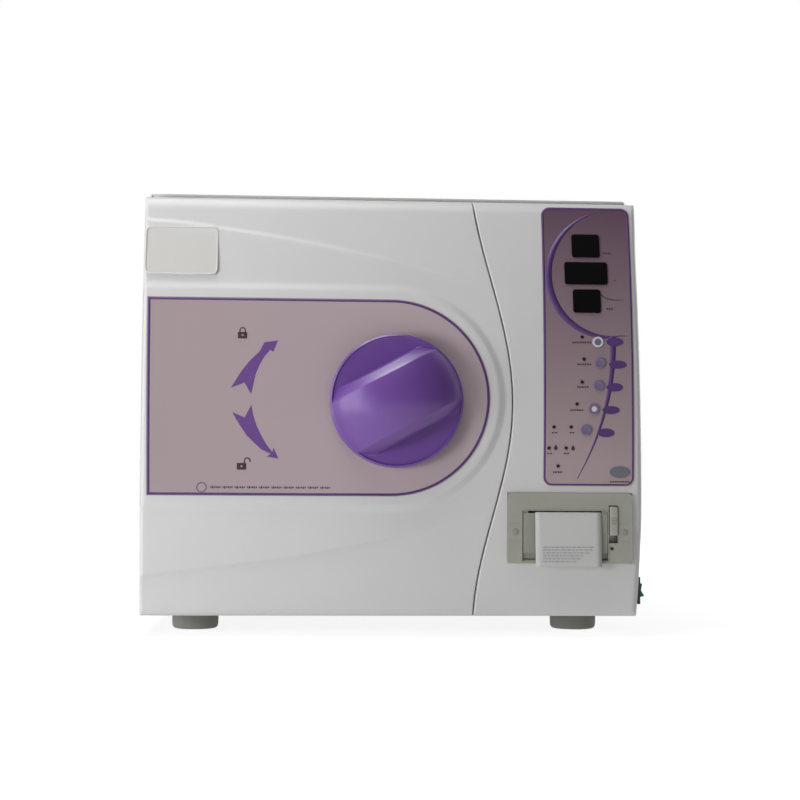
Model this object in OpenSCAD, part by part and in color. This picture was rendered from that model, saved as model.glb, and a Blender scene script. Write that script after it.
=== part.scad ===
// Benchtop autoclave: steel housing, plastic front, round chamber, swing door with a knob lock.
// Frame: +Z up, z = 0 on the bench, x = 0 on the mid-plane, front faces -Y,
// y = 0 where the plastic front meets the steel housing.

/* [Housing] */
// Width across the plastic front
body_w = 443; // [435:1:450]
// Depth of the steel housing behind the plastic front
case_d = 530; // [520:1:580]
// Height of the steel cover above the bench
body_h = 399; // [397:0.5:401]
// Height of the rubber feet
foot_h = 18; // [14:1:20]
// Sheet steel thickness
sheet = 1.5; // [1:0.1:2]

/* [Front face] */
// Most forward point of the bowed front
face_y = 72; // [71:0.5:73]
// Radius of the bow, seen from the side
bow_r = 900; // [890:1:930]
// Height of the middle of the bow
bow_z = 135; // [130:1:138]
// Plastic wall thickness
wall = 3; // [2.5:0.1:3.2]
// Height of the raised D-shaped platform above the door
plat_h = 3; // [2:0.5:3]

/* [Chamber] */
// Inner radius of the chamber
cham_r = 123.5; // [118:0.5:124]
// Chamber length from the flange face to the start of the dished back
cham_l = 352; // [345:1:355]
// Sideways place of the chamber axis
cham_x = -57; // [-58:0.5:-56]
// Height of the chamber axis
cham_z = 206; // [205:0.5:207]

/* [Knob] */
// Knob radius
knob_r = 58.3; // [54:0.1:60]
// Rise of the dome over the knob's base disc
dome_h = 34; // [28:0.5:38]
// Tilt of the grip bar
grip_tilt = 28; // [20:1:40]
// Radial running clearance on shafts and pins
run = 0.05; // [0.02:0.01:0.1]

/* [Hidden] */
NODES = ["base_pan", "outer_cover", "back_panel", "front_frame", "control_fascia",
  "control_overlay", "display_windows", "indicator_leds", "printer_bezel", "printer_mechanism",
  "rocker_housing", "rubber_feet", "housing_screws", "chamber_vessel", "heater_band",
  "insulation_jacket", "chamber_saddles", "tray_rack", "tray_lower", "tray_middle", "tray_upper",
  "clean_water_tank", "waste_water_tank", "vacuum_pump", "steam_generator", "valve_block",
  "condenser_coil", "fan_frame", "air_filter", "control_board", "transformer", "mains_inlet",
  "safety_valve", "drain_fittings", "lock_keeper", "hinge_fixed_leaves", "hinge_pins",
  "door_cover", "door_liner", "door_plate", "door_gasket", "door_arm", "hinge_moving_leaves",
  "door_overlay", "badge_plate", "knob", "knob_shaft", "lock_bolt", "key_1", "key_2", "key_3",
  "key_4", "key_5", "mains_rocker", "printer_door", "paper_strip", "printer_latch", "paper_roll",
  "tank_lid", "fan_rotor"];
node = "all";

half = body_w / 2;
top_z = body_h - 5.5;       // top of the plastic front
floor_z = foot_h + 3.1;     // parts stand here, on the pan
rear_y = case_d - 0.9;      // parts on the outside of the back panel start here
ahead = -90;                // in front of the whole face
feet_x = [-176, 176];
feet_y = [28, case_d - 60];
// x, z of the five keys, top to bottom
keys = [[183.2, 261.1], [184.6, 242.2], [183.2, 221.6], [178.4, 201], [171.1, 182.3]];
// slot for the lock bolt, through fascia and door edges
slot_y = [-51.5, -40.5];
slot_z = [217, 235];

// ---- helpers: an argument along an axis is a [from, to] range ----
function span(centre, reach) = [centre - reach, centre + reach];
function grow(range, by) = [range[0] - by, range[1] + by];
// range from near to far, on the + or - side of a centre
function beside(centre, side, near, far) =
  side > 0 ? [centre + near, centre + far] : [centre - far, centre - near];

module box(x, y, z) translate([x[0], y[0], z[0]]) cube([x[1] - x[0], y[1] - y[0], z[1] - z[0]]);
module cyl_x(r, x, y, z, fn = 48)
  translate([x[0], y, z]) rotate([0, 90, 0]) cylinder(r = r, h = x[1] - x[0], $fn = fn);
module cyl_y(r, x, y, z, fn = 64)
  translate([x, y[0], z]) rotate([-90, 0, 0]) cylinder(r = r, h = y[1] - y[0], $fn = fn);
module cyl_z(r, x, y, z, fn = 48)
  translate([x, y, z[0]]) cylinder(r = r, h = z[1] - z[0], $fn = fn);
// a flat x, z outline made solid along y
module extrude_y(y)
  translate([0, y[1], 0]) rotate([90, 0, 0]) linear_extrude(y[1] - y[0]) children();
module rounded_rect(x, z, r) {
  translate([x[0] + r, z[0]]) square([x[1] - x[0] - 2 * r, z[1] - z[0]]);
  translate([x[0], z[0] + r]) square([x[1] - x[0], z[1] - z[0] - 2 * r]);
  for (cx = [x[0] + r, x[1] - r], cz = [z[0] + r, z[1] - r])
    translate([cx, cz]) circle(r = r, $fn = 32);
}

// ---- bowed front ----
// y of the bowed face at height z
function face(z) = -face_y + bow_r - sqrt(bow_r * bow_r - (z - bow_z) * (z - bow_z));
module bow(raise) cyl_x(bow_r + raise, [-240, 240], -face_y + bow_r, bow_z, fn = 720);
module bowed(raise) intersection() {
  children();
  bow(raise);
}
// the part of the children between two heights over the bowed face
module bow_layer(low, high) difference() {
  bowed(high) children();
  bow(low);
}

// Curved seam between door and fascia: furthest to +X at seam_z
seam_z = 207;
seam_end_x = 72;
seam_swing = 17.2;
seam_gap = 0.7;   // each side
function seam(z) =
  seam_end_x + seam_swing * (1 + cos(180 * (z - seam_z) / (z > seam_z ? 215 : 199)));
function seam_line(z_from, z_to, shift) = [
  for (i = [0 : 28]) let (z = z_from + (z_to - z_from) * i / 28) [seam(z) + shift, z]
];
module door_outline(inset) polygon(concat(
  [[-half + inset, top_z - 5 - inset], [-half + inset, foot_h + 6 + inset],
    [-half + 6 + inset, foot_h + inset]],
  seam_line(foot_h + inset, top_z - inset, -seam_gap - inset),
  [[-half + 5 + inset, top_z - inset]]));
module fascia_outline(inset) polygon(concat(
  seam_line(top_z - inset, foot_h + inset, seam_gap + inset),
  [[half - 8 - inset, foot_h + inset], [half - inset, foot_h + 8 + inset],
    [half - inset, top_z - 5 - inset], [half - 5 - inset, top_z - inset]]));
// D shape: straight edge at left_x, round end toward +X
d_x = -1.3;
d_z = 210;
module d_outline(r, left_x) {
  translate([left_x, d_z - r]) square([d_x - left_x, 2 * r]);
  translate([d_x, d_z]) circle(r = r, $fn = 128);
}

// ---- housing ----
lid_x = 150;      // tank filler
lid_y = 430;
fan_x = -90;
fan_z = 220;
drains_x = [150, 185];
drain_z = 60;
filter_x = 40;
filter_z = 330;
screw_hole_r = 2.6;

module base_pan() color("silver") difference() {
  union() {
    box(span(0, half - 5), [2, case_d - 4], [foot_h, foot_h + 3]);
    for (side = [-1, 1])
      box(beside(0, side, half - 6.5, half - 5), [2, case_d - 4], [foot_h, foot_h + 10]);
  }
  for (x = feet_x, y = feet_y) cyl_z(screw_hole_r, x, y, [0, 40], fn = 24);
  for (y = [150 : 14 : 276]) box([-60, 60], [y, y + 6], [0, 30]);
}
module outer_cover() color("gainsboro") difference() {
  inside_x = span(0, half - 1 - sheet);
  box(span(0, half - 1), [0.2, case_d], [foot_h + 1, body_h]);
  // open front below a shallow lip
  box(inside_x, [-1, case_d + 1], [0, body_h - 12]);
  box(inside_x, [0.2 + sheet, case_d + 1], [0, body_h - sheet]);
  cyl_z(36.5, lid_x, lid_y, [body_h - 8, body_h + 4]);
  // side slots
  for (side = [-1, 1], y = [330, 420], z = [120 : 18 : 282])
    box(span(side * half, 5), [y, y + 70], [z, z + 5]);
}
module back_panel() color("silver") difference() {
  cut_y = span(case_d, 9);
  box(span(0, half - 3), [case_d - 2.5, case_d - 1], [foot_h + 4, body_h - 2]);
  cyl_y(54, fan_x, cut_y, fan_z);
  for (x = drains_x) cyl_y(5.3, x, cut_y, drain_z, fn = 32);
  box([52, 100], cut_y, [42, 70]);
  cyl_y(9.2, filter_x, cut_y, filter_z, fn = 32);
  for (z = [180 : 16 : 292]) box([70, 190], cut_y, [z, z + 5]);
}
module front_frame() color("whitesmoke") difference() {
  cut_y = [-20, 10];
  extrude_y([-12, 0]) rounded_rect([-half, half], [foot_h, top_z], 6);
  cyl_y(149, cham_x, cut_y, cham_z, fn = 96);
  box([125, 205], cut_y, [262, 370]);
  box([140, 205], cut_y, [140, 205]);
}
module rubber_feet() color("dimgray")
  for (x = feet_x, y = feet_y) translate([x, y, 0]) difference() {
    rotate_extrude($fn = 64) polygon([[0, 0], [17, 0], [19.6, 3], [20.5, foot_h], [0, foot_h]]);
    translate([0, 0, -1]) cylinder(r = 5.5, h = 7, $fn = 32);
    cylinder(r = screw_hole_r, h = 40, $fn = 24);
  }
module housing_screws() color("silver") {
  // foot screws: shank, head, hex nut
  for (x = feet_x, y = feet_y) {
    cyl_z(2.5, x, y, [4, foot_h + 9], fn = 24);
    cyl_z(4.8, x, y, [2.5, 5.9], fn = 24);
    cyl_z(5, x, y, [floor_z, foot_h + 7], fn = 6);
  }
  for (x = [-200, 0, 200], z = [40, 370]) cyl_y(4, x, [rear_y, case_d + 1.2], z, fn = 24);
}

// ---- control panel ----
key_r = 4.8;
key_skirt_r = 6.4;
bezel_x = [101.4, 211.7];
bezel_z = [65.1, 126.7];

module control_fascia() color("gainsboro") difference() {
  bowed(0) extrude_y([ahead, -12.2]) fascia_outline(0);
  // hollow, leaving a boss round each key
  difference() {
    bowed(-wall) extrude_y([ahead, -10]) fascia_outline(wall);
    for (key = keys) cyl_y(8, key[0], [-80, face(key[1]) + 6.5], key[1]);
  }
  for (key = keys) {
    cyl_y(key_r + run, key[0], [ahead, -40], key[1], fn = 32);
    cyl_y(7, key[0], [face(key[1]) + 3.5, -30], key[1], fn = 32);
  }
  box(grow(bezel_x, 0.2), [ahead, -40], grow(bezel_z, 0.2));
  box([100, 118], slot_y, slot_z);
  box(span(half, 10), [-50.5, -23.5], [29.5, 50.5]);
}
// x, z corners of the overlay
overlay_points = [
  [136, 377], [144, 385.4], [208, 386.4], [216, 378.6],
  [213.8, 141], [205.8, 133.2], [140.8, 132.8], [132.9, 140.6]
];
overlay_t = 0.8;
module control_overlay() color("slategray") bow_layer(0, overlay_t) difference() {
  extrude_y([ahead, -30]) polygon(overlay_points);
  for (key = keys) cyl_y(5.2, key[0], [ahead, -20], key[1], fn = 32);
}
// x range, z range of each window
windows = [
  [[162.3, 187.5], [338.7, 360.3]], [[154.9, 193.7], [313.4, 334.2]],
  [[161.7, 186.7], [287.5, 308.9]]
];
module display_windows() color("black")
  for (window = windows)
    bow_layer(overlay_t, 1.8) extrude_y([ahead, -30]) rounded_rect(window[0], window[1], 2.5);
// x, z of each indicator
leds = [
  [169, 265.5], [170.3, 245.6], [168.1, 225], [163.3, 205.3], [142.6, 184.8],
  [157.7, 184.9], [138.1, 166.2], [153.2, 166.3], [146, 150.4]
];
module indicator_leds() color("red")
  for (led = leds) bow_layer(overlay_t, 1.4) cyl_y(1.5, led[0], [ahead, -30], led[1], fn = 24);

module key(place, tint = "slategray") color(tint) {
  y = face(place[1]);
  cyl_y(key_r, place[0], [y - 2.3, y + 8], place[1], fn = 32);
  cyl_y(key_skirt_r, place[0], [y + 3.7, y + 5.2], place[1], fn = 32);
}
module key_1() key(keys[0]);
module key_2() key(keys[1]);
module key_3() key(keys[2]);
module key_4() key(keys[3], "white");
module key_5() key(keys[4]);

// ---- mains rocker, on the +X side ----
rocker_x = half - 3.2;
rocker_z = 40;
rocker_pin_r = 1.5;
module rocker_housing() color("black") difference() {
  union() {
    box([half + 0.02, half + 2], [-52, -22], [28, 52]);
    box([half - 24, half + 1], [-50, -24], [30, 50]);
  }
  box([half - 18, half + 5], [-47, -27], [31.8, 48.2]);
  cyl_y(rocker_pin_r + run, rocker_x, [-49, -25], rocker_z, fn = 24);
}
// section across the pivot: x, and height downward
rocker_points = [
  [-3, -5], [2.5, -6.5], [7, -6.3], [8, -5.4], [7, 0],
  [9.7, 4.6], [9.2, 5.4], [2.5, 6.5], [-3, 5]
];
module mains_rocker() color("seagreen") {
  translate([rocker_x, -46.7, rocker_z]) rotate([-90, 0, 0])
    linear_extrude(19.4) polygon(rocker_points);
  cyl_y(rocker_pin_r, rocker_x, [-48.6, -25.4], rocker_z, fn = 24);
}

// ---- printer ----
printer_pin_r = 1.2;
printer_pin_y = -71;
printer_pin_z = 71;
spool_r = 6;
spool_y = -37;
spool_z = 93;
paper_x = [127, 184.5];
printer_door_x = [115, 189.5];

module printer_bezel() color("darkkhaki") difference() {
  extrude_y([-75, -66]) rounded_rect(bezel_x, bezel_z, 4);
  box([114.5, 190], [-80, -60], [67, 111]);
  box([190.8, 199.2], [-80, -60], [83, 116]);
  for (x = [114.5, 190])
    cyl_x(printer_pin_r + run, span(x, 4), printer_pin_y, printer_pin_z, fn = 24);
}
module printer_mechanism() color("dimgray") {
  difference() {
    box([108, 206], [-65.8, -14], [64, 124]);
    box([112, 190], [-70, -17], [67, 121]);
    box([190, 202], [-70, -50], [70, 120]);
  }
  cyl_x(spool_r, [110, 192], spool_y, spool_z, fn = 32);
}
module printer_door() color("tan") {
  difference() {
    box(printer_door_x, [-75, -72.3], [74, 109]);
    box([126, 186], [-76, -74.4], [104.5, 106]);
  }
  cyl_x(2.6, printer_door_x, printer_pin_y, printer_pin_z, fn = 32);
  box(printer_door_x, [-73.6, printer_pin_y], [printer_pin_z, 75]);
  cyl_x(printer_pin_r, [111, 193.5], printer_pin_y, printer_pin_z, fn = 24);
}
module paper_strip() color("white") box(paper_x, [-75.6, -75.1], [74, 108]);
module printer_latch() color("dimgray") {
  box([191.4, 198.6], [-76.5, -70], [89.5, 115]);
  box([191.4, 198.6], [-70, -66], [92, 104]);
}
module paper_roll() color("white") difference() {
  cyl_x(18, paper_x, spool_y, spool_z);
  cyl_x(spool_r + run, [120, 190], spool_y, spool_z, fn = 32);
}

// ---- chamber ----
vessel_wall = 2.5;
vessel_r = cham_r + vessel_wall;
dish_r = 254.5;   // inner radius of the dished back
dish_y = 128;     // its centre

module cham_cyl(r, y, fn = 128) cyl_y(r, cham_x, y, cham_z, fn = fn);
module ring(inner_r, outer_r, y) difference() {
  cham_cyl(outer_r, y);
  cham_cyl(inner_r, grow(y, 1));
}
module dished_back(outset) intersection() {
  translate([cham_x, dish_y, cham_z]) sphere(r = dish_r + outset, $fn = 160);
  cham_cyl(cham_r + outset, [cham_l - 1, 400]);
}
module chamber_vessel() color("silver") difference() {
  union() {
    cham_cyl(148, [-10, 2]);
    cham_cyl(vessel_r, [0, cham_l]);
    dished_back(vessel_wall);
  }
  cham_cyl(cham_r, [-20, cham_l]);
  dished_back(0);
  cham_cyl(5, [360, 400], fn = 32);
}
module heater_band() color("goldenrod") {
  ring(vessel_r + 0.1, 130, [60, 260]);
  box(span(cham_x, 10), [140, 170], [cham_z + 129.5, cham_z + 131.5]);
}
module insulation_jacket() color("beige") ring(132, 146, [42, 335]);
module chamber_saddles() color("gray")
  for (y = [[8, 38], [342, 350]]) difference() {
    box(span(cham_x, 70), y, [floor_z, cham_z - 90]);
    cham_cyl(vessel_r + 0.02, [-30, 400]);
    box(span(cham_x, 45), [y[0] - 1, y[0] + 40], [foot_h + 12, foot_h + 40]);
  }

// ---- trays ----
trays_z = [150, 195, 240];
rack_y = [12, 330];
rack_z = 130;
module tray_rack() color("lightgray") {
  for (side = [-1, 1]) {
    box(span(cham_x + side * 84, 0.8), rack_y, [rack_z, 282]);
    for (z = trays_z) box(beside(cham_x, side, 73, 84.8), rack_y, [z - 1.5, z]);
  }
  for (y = [12, 324]) box(span(cham_x, 84), [y, y + 6], [rack_z, rack_z + 3]);
}
module tray(z) color("silver") difference() {
  box(span(cham_x, 82), [14, 314], [z + 0.1, z + 16]);
  box(span(cham_x, 80.8), [15.2, 312.8], [z + 1.2, z + 20]);
  for (x = [-62.5 : 25 : 62.5], y = [30 : 29 : 291])
    cyl_z(4, cham_x + x, y, [z - 3, z + 5], fn = 16);
}
module tray_lower() tray(trays_z[0]);
module tray_middle() tray(trays_z[1]);
module tray_upper() tray(trays_z[2]);

// ---- water tanks and filler lid ----
tank_x = [100, 212];
tank_wall = 3;
lid_pin_r = 1.5;
lid_pin_y = lid_y + 39;
lid_pin_z = body_h + 3.5;

module clean_water_tank() color("white") difference() {
  tank_y = [210, 500];
  tank_z = [240, 376];
  union() {
    box(tank_x, tank_y, tank_z);
    cyl_z(32, lid_x, lid_y, [370, body_h + 1.5]);
    cyl_z(36, lid_x, lid_y, [body_h + 0.1, body_h + 1.5]);
    // lid hinge lugs
    for (side = [-1, 1])
      box(span(lid_x + side * 14, 3), [lid_y + 30, lid_y + 42], [body_h + 0.1, body_h + 5]);
  }
  box(grow(tank_x, -tank_wall), grow(tank_y, -tank_wall), grow(tank_z, -tank_wall));
  cyl_z(28, lid_x, lid_y, [360, body_h + 4]);
  cyl_x(lid_pin_r + run, span(lid_x, 30), lid_pin_y, lid_pin_z, fn = 24);
}
module waste_water_tank() color("white") difference() {
  tank_y = [290, 500];
  tank_z = [130, 232];
  box(tank_x, tank_y, tank_z);
  box(grow(tank_x, -tank_wall), grow(tank_y, -tank_wall), grow(tank_z, -tank_wall));
}
module tank_lid() color("whitesmoke") {
  difference() {
    cyl_z(33.5, lid_x, lid_y, [body_h + 1.6, body_h + 5]);
    // room for the lugs
    for (side = [-1, 1])
      box(beside(lid_x, side, 10, 30), [lid_y + 26, lid_y + 50], [body_h, body_h + 8]);
  }
  box(span(lid_x, 10.5), [lid_y + 26, lid_pin_y], [body_h + 1.9, body_h + 5]);
  cyl_x(2, span(lid_x, 10.5), lid_pin_y, lid_pin_z, fn = 32);
  cyl_x(lid_pin_r, span(lid_x, 17), lid_pin_y, lid_pin_z, fn = 24);
}

// ---- machinery ----
module vacuum_pump() color("gray") {
  box([110, 205], [300, 400], [floor_z, foot_h + 10]);
  cyl_y(34, 158, [310, 400], 68);
  box([120, 196], [400, 445], [35, 105]);
  for (x = [135, 181]) cyl_z(6, x, 422, [105, 120]);
}
module steam_generator() color("silver") translate([-140, 425, 0]) {
  cyl_z(42, 0, 0, [floor_z, 150]);
  cyl_z(10, 0, 0, [150, 165]);
  for (a = [0, 120, 240]) cyl_z(4, 28 * cos(a), 28 * sin(a), [150, 158], fn = 24);
}
module valve_block() color("goldenrod") {
  box([-70, 50], [410, 450], [30, 55]);
  for (x = [-55 : 30 : 35]) {
    cyl_z(8, x, 430, [55, 75]);
    box(span(x, 11), span(430, 13), [75, 105]);
  }
}
module condenser_coil() color("peru") {
  tube_r = 4;
  pitch = 15;
  ends_x = [-150, -30];
  coil_y = 480;
  for (i = [0 : 8]) {
    z = 160 + i * pitch;
    even = i % 2 == 0;
    cyl_x(tube_r, ends_x, coil_y, z, fn = 24);
    // return bend, at alternate ends
    if (i < 8)
      translate([even ? ends_x[1] : ends_x[0], coil_y, z + pitch / 2])
        rotate([90, 0, 0]) rotate([0, 0, even ? -90 : 90])
          rotate_extrude(angle = 180, $fn = 32)
            translate([pitch / 2, 0]) circle(r = tube_r, $fn = 24);
  }
}
fan_shaft_r = 3;
module fan_cyl(r, y, fn = 64) cyl_y(r, fan_x, y, fan_z, fn = fn);
module fan_frame() color("black") difference() {
  union() {
    difference() {
      box(span(fan_x, 60), [500, case_d - 2.6], span(fan_z, 60));
      fan_cyl(56, [490, 540], fn = 96);
    }
    fan_cyl(16, [500, 504]);
    for (a = [45 : 90 : 315])
      translate([fan_x, 502, fan_z]) rotate([0, a, 0])
        box([14, 58], [-1.5, 1.5], [-1.5, 1.5]);
    for (r = [28, 42]) difference() {
      fan_cyl(r + 1, [501, 503]);
      fan_cyl(r - 1, [499, 505]);
    }
  }
  fan_cyl(fan_shaft_r, [490, 540], fn = 32);
}
module fan_rotor() color("dimgray") {
  blades = 7;
  fan_cyl(19, [505, 522]);
  fan_cyl(fan_shaft_r - run, [500.5, 505], fn = 32);
  for (i = [0 : blades - 1])
    translate([fan_x, 513.5, fan_z]) rotate([0, i * 360 / blades, 0]) rotate([35, 0, 0])
      box([17, 53], [-8, 8], [-1, 1]);
}
module air_filter() color("white") {
  cyl_y(24, filter_x, [400, 470], filter_z);
  cyl_y(6, filter_x, [470, case_d - 12], filter_z, fn = 32);
  cyl_y(9, filter_x, [case_d - 12, case_d + 4], filter_z, fn = 32);
}
module control_board() color("darkgreen") {
  box([141, 213], [-34, -32], [142, 372]);
  for (z = [150, 365]) cyl_y(3, 210, [-32, -12.3], z, fn = 24);
  box([150, 190], [-32, -26], [150, 175]);
  for (x = [160 : 13 : 199]) cyl_y(6, x, [-32, -21], 340, fn = 32);
}
module transformer() color("orange") {
  box([120, 205], [150, 165], [floor_z, foot_h + 8]);
  box([120, 205], [165, 225], [floor_z, 96]);
  box([128, 197], [150, 240], [40, 84]);
}
module mains_inlet() color("black") difference() {
  union() {
    box([49, 103], [rear_y, case_d + 2], [39, 73]);
    box([52.2, 99.8], [case_d - 30, rear_y], [42.2, 69.8]);
  }
  box([72, 97], [case_d - 20, case_d + 5], [46, 66]);
  box([55, 67], [case_d - 2, case_d + 5], [46, 66]);
}
module safety_valve() color("goldenrod") {
  cham_cyl(4.9, [376, 392], fn = 32);
  cham_cyl(12, [392, 420], fn = 64);
  cham_cyl(7, [420, 440], fn = 64);
  difference() {
    cham_cyl(14, [440, 443], fn = 64);
    cham_cyl(9, [439, 444], fn = 64);
  }
  cham_cyl(9.5, [440, 443], fn = 64);
}
module drain_fittings() color("silver")
  for (x = drains_x) difference() {
    union() {
      cyl_y(5, x, [case_d - 18, case_d], drain_z, fn = 32);
      cyl_y(8, x, [rear_y, case_d + 4], drain_z, fn = 6);
      cyl_y(4, x, [case_d + 4, case_d + 26], drain_z, fn = 32);
    }
    cyl_y(2.2, x, [case_d - 30, case_d + 40], drain_z, fn = 24);
  }

// ---- hinges ----
hinge_x = -212;
hinge_y = -26;
hinges_z = [88, 264];   // bottom of each hinge
hinge_h = 60;
knuckle_h = 18;
knuckle_r = 6;
hinge_pin_r = 3;
module hinge_cyl(r, z, fn = 48) cyl_z(r, hinge_x, hinge_y, z, fn = fn);
module hinge_bore(z) hinge_cyl(hinge_pin_r + run, [z - 1, z + hinge_h + 1], fn = 32);

module hinge_fixed_leaves() color("silver")
  for (z = hinges_z) difference() {
    union() {
      box([-219, -200], [-15, -12.1], [z, z + hinge_h]);
      for (low = [z, z + hinge_h - knuckle_h]) {
        hinge_cyl(knuckle_r, [low, low + knuckle_h]);
        box(span(hinge_x, 4), [hinge_y, -13], [low, low + knuckle_h]);
      }
    }
    hinge_bore(z);
  }
module hinge_pins() color("silver")
  for (z = hinges_z) {
    top = z + hinge_h;
    hinge_cyl(hinge_pin_r, [z, top], fn = 32);
    hinge_cyl(5, [top + 0.02, top + 3], fn = 32);
    hinge_cyl(hinge_pin_r, [top - 1, top + 1], fn = 32);
  }
module hinge_moving_leaves() color("silver")
  for (z = hinges_z) difference() {
    leaf_z = [z + knuckle_h + 0.3, z + hinge_h - knuckle_h - 0.3];
    union() {
      hinge_cyl(knuckle_r, leaf_z);
      box([hinge_x, -178], [-30, -27], leaf_z);
      box([hinge_x + 5, hinge_x + 9], [-30, -24], leaf_z);
    }
    hinge_bore(z);
  }

// ---- door ----
knob_x = 3;
knob_z = 206;
shaft_r = 8;
guides_x = [34, 78];    // two guides for the lock bolt, on the arm

module knob_cyl(r, y, fn = 64) cyl_y(r, knob_x, y, knob_z, fn = fn);
module door_cover() color("whitesmoke") difference() {
  union() {
    difference() {
      bowed(0) extrude_y([ahead, -14]) door_outline(0);
      bowed(-wall) extrude_y([ahead, -10]) door_outline(wall);
    }
    bow_layer(-1, plat_h) extrude_y([ahead, -60]) d_outline(101, -219.5);
    // hollow boss behind the knob, with a shaft bush
    difference() {
      knob_cyl(50, [-75.6, -60]);
      knob_cyl(40, [-70, -50]);
    }
    knob_cyl(14, [-75.6, -58]);
  }
  // room for the hinges
  box([-230, -203], [-24, 0], [0, 400]);
  for (z = hinges_z) box([-230, -203], [-39, 0], [z - 1, z + 64]);
  knob_cyl(shaft_r + run, [ahead, -50], fn = 48);
  box([90, 110], slot_y, slot_z);
}
module door_liner() color("gainsboro") difference() {
  intersection() {
    extrude_y([-19, -16]) door_outline(wall + 0.3);
    box([-190, 240], [-30, 0], [0, 400]);
  }
  cham_cyl(142, [-30, 0]);
}
module door_plate() color("silver") difference() {
  union() {
    cham_cyl(140, [-24, -14]);
    cham_cyl(116, [-14, -4]);
  }
  ring(124, 134, [-18, -13]);
}
module door_gasket() color("orangered") ring(124.1, 133.9, [-18, -10.05]);
module door_arm() color("gray") difference() {
  union() {
    box([-198, 96], [-36, -30], [176, 244]);
    box([-198, -176], [-36, -30], [82, 330]);
    cham_cyl(30, [-30, -24.02], fn = 64);
    for (x = guides_x) box([x, x + 10], [-54, -36], [214, 238]);
  }
  knob_cyl(shaft_r + run, [-60, -20], fn = 48);
  box([30, 100], [-50.3, -41.7], [219.2, 232.8]);
  for (x = guides_x) box([x - 1, x + 11], [-50.3, -41.7], [210, 232.8]);
}
module door_overlay() color("rosybrown") difference() {
  bow_layer(plat_h, plat_h + 0.5) extrude_y([ahead, -50]) d_outline(87, -213.5);
  knob_cyl(51, [ahead, -40], fn = 96);
}
module badge_plate() color("white")
  bow_layer(0, 1) extrude_y([ahead, -40]) rounded_rect([-219, -155], [318, 362.2], 4);

// ---- knob and lock ----
dome_edge_r = knob_r - 1;
dome_r = (dome_edge_r * dome_edge_r + dome_h * dome_h) / (2 * dome_h);
bolt_y = [-50, -42];
pinion_teeth = 12;
rack_pitch = 2 * PI;

module knob() color("mediumpurple") difference() {
  union() {
    // base disc: radius, height toward the front
    translate([knob_x, -76.5, knob_z]) rotate([90, 0, 0]) rotate_extrude($fn = 128) polygon([
      [0, 0], [knob_r - 2, 0], [knob_r, 2], [knob_r, 7.5], [knob_r - 0.6, 8.5],
      [knob_r - 1.6, 8.5], [knob_r - 2, 7.5], [0, 7.5]
    ]);
    // grip bar cut from a dome; its section tapers toward the front
    intersection() {
      translate([knob_x, -84 + dome_r - dome_h, knob_z]) sphere(r = dome_r, $fn = 160);
      translate([knob_x, 0, knob_z]) rotate([0, -grip_tilt, 0])
        translate([-80, 0, 0]) rotate([90, 0, 90])
          linear_extrude(160) polygon([[-83, -32], [-83, 32], [-125, 22], [-125, -22]]);
    }
  }
  knob_cyl(shaft_r + 0.02, [-92, -70], fn = 48);
}
module knob_shaft() color("silver") {
  knob_cyl(shaft_r, [-91, -28], fn = 48);
  // pinion
  translate([knob_x, 0, knob_z]) extrude_y([-50.2, -41.8]) {
    circle(r = 10.4, $fn = 48);
    for (i = [0 : pinion_teeth - 1]) rotate([0, 0, 90 + i * 360 / pinion_teeth]) polygon([
      [9, -1.3], [10.4, -1.3], [13.2, -0.7], [13.2, 0.7], [10.4, 1.3], [9, 1.3]
    ]);
  }
}
// bolt with rack teeth on its underside
module lock_bolt() color("silver") {
  box([-34, 103], bolt_y, [221, 232.5]);
  for (i = [-5 : 1])
    translate([knob_x + (i + 0.5) * rack_pitch, 0, 218]) extrude_y(bolt_y)
      polygon([[-1.6, 3.2], [-0.7, -1.1], [0.7, -1.1], [1.6, 3.2]]);
}
module lock_keeper() color("gray") difference() {
  box([112, 136], [-54, -12.1], [212, 240]);
  box([110, 134], [-51, -41], [218, 234]);
  box([118, 130], [-38, -18], [210, 242]);
}

function on(name) = node == "all" || node == name;
if (on("base_pan")) base_pan();
if (on("outer_cover")) outer_cover();
if (on("back_panel")) back_panel();
if (on("front_frame")) front_frame();
if (on("control_fascia")) control_fascia();
if (on("control_overlay")) control_overlay();
if (on("display_windows")) display_windows();
if (on("indicator_leds")) indicator_leds();
if (on("printer_bezel")) printer_bezel();
if (on("printer_mechanism")) printer_mechanism();
if (on("rocker_housing")) rocker_housing();
if (on("rubber_feet")) rubber_feet();
if (on("housing_screws")) housing_screws();
if (on("chamber_vessel")) chamber_vessel();
if (on("heater_band")) heater_band();
if (on("insulation_jacket")) insulation_jacket();
if (on("chamber_saddles")) chamber_saddles();
if (on("tray_rack")) tray_rack();
if (on("tray_lower")) tray_lower();
if (on("tray_middle")) tray_middle();
if (on("tray_upper")) tray_upper();
if (on("clean_water_tank")) clean_water_tank();
if (on("waste_water_tank")) waste_water_tank();
if (on("vacuum_pump")) vacuum_pump();
if (on("steam_generator")) steam_generator();
if (on("valve_block")) valve_block();
if (on("condenser_coil")) condenser_coil();
if (on("fan_frame")) fan_frame();
if (on("air_filter")) air_filter();
if (on("control_board")) control_board();
if (on("transformer")) transformer();
if (on("mains_inlet")) mains_inlet();
if (on("safety_valve")) safety_valve();
if (on("drain_fittings")) drain_fittings();
if (on("lock_keeper")) lock_keeper();
if (on("hinge_fixed_leaves")) hinge_fixed_leaves();
if (on("hinge_pins")) hinge_pins();
if (on("door_cover")) door_cover();
if (on("door_liner")) door_liner();
if (on("door_plate")) door_plate();
if (on("door_gasket")) door_gasket();
if (on("door_arm")) door_arm();
if (on("hinge_moving_leaves")) hinge_moving_leaves();
if (on("door_overlay")) door_overlay();
if (on("badge_plate")) badge_plate();
if (on("knob")) knob();
if (on("knob_shaft")) knob_shaft();
if (on("lock_bolt")) lock_bolt();
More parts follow.
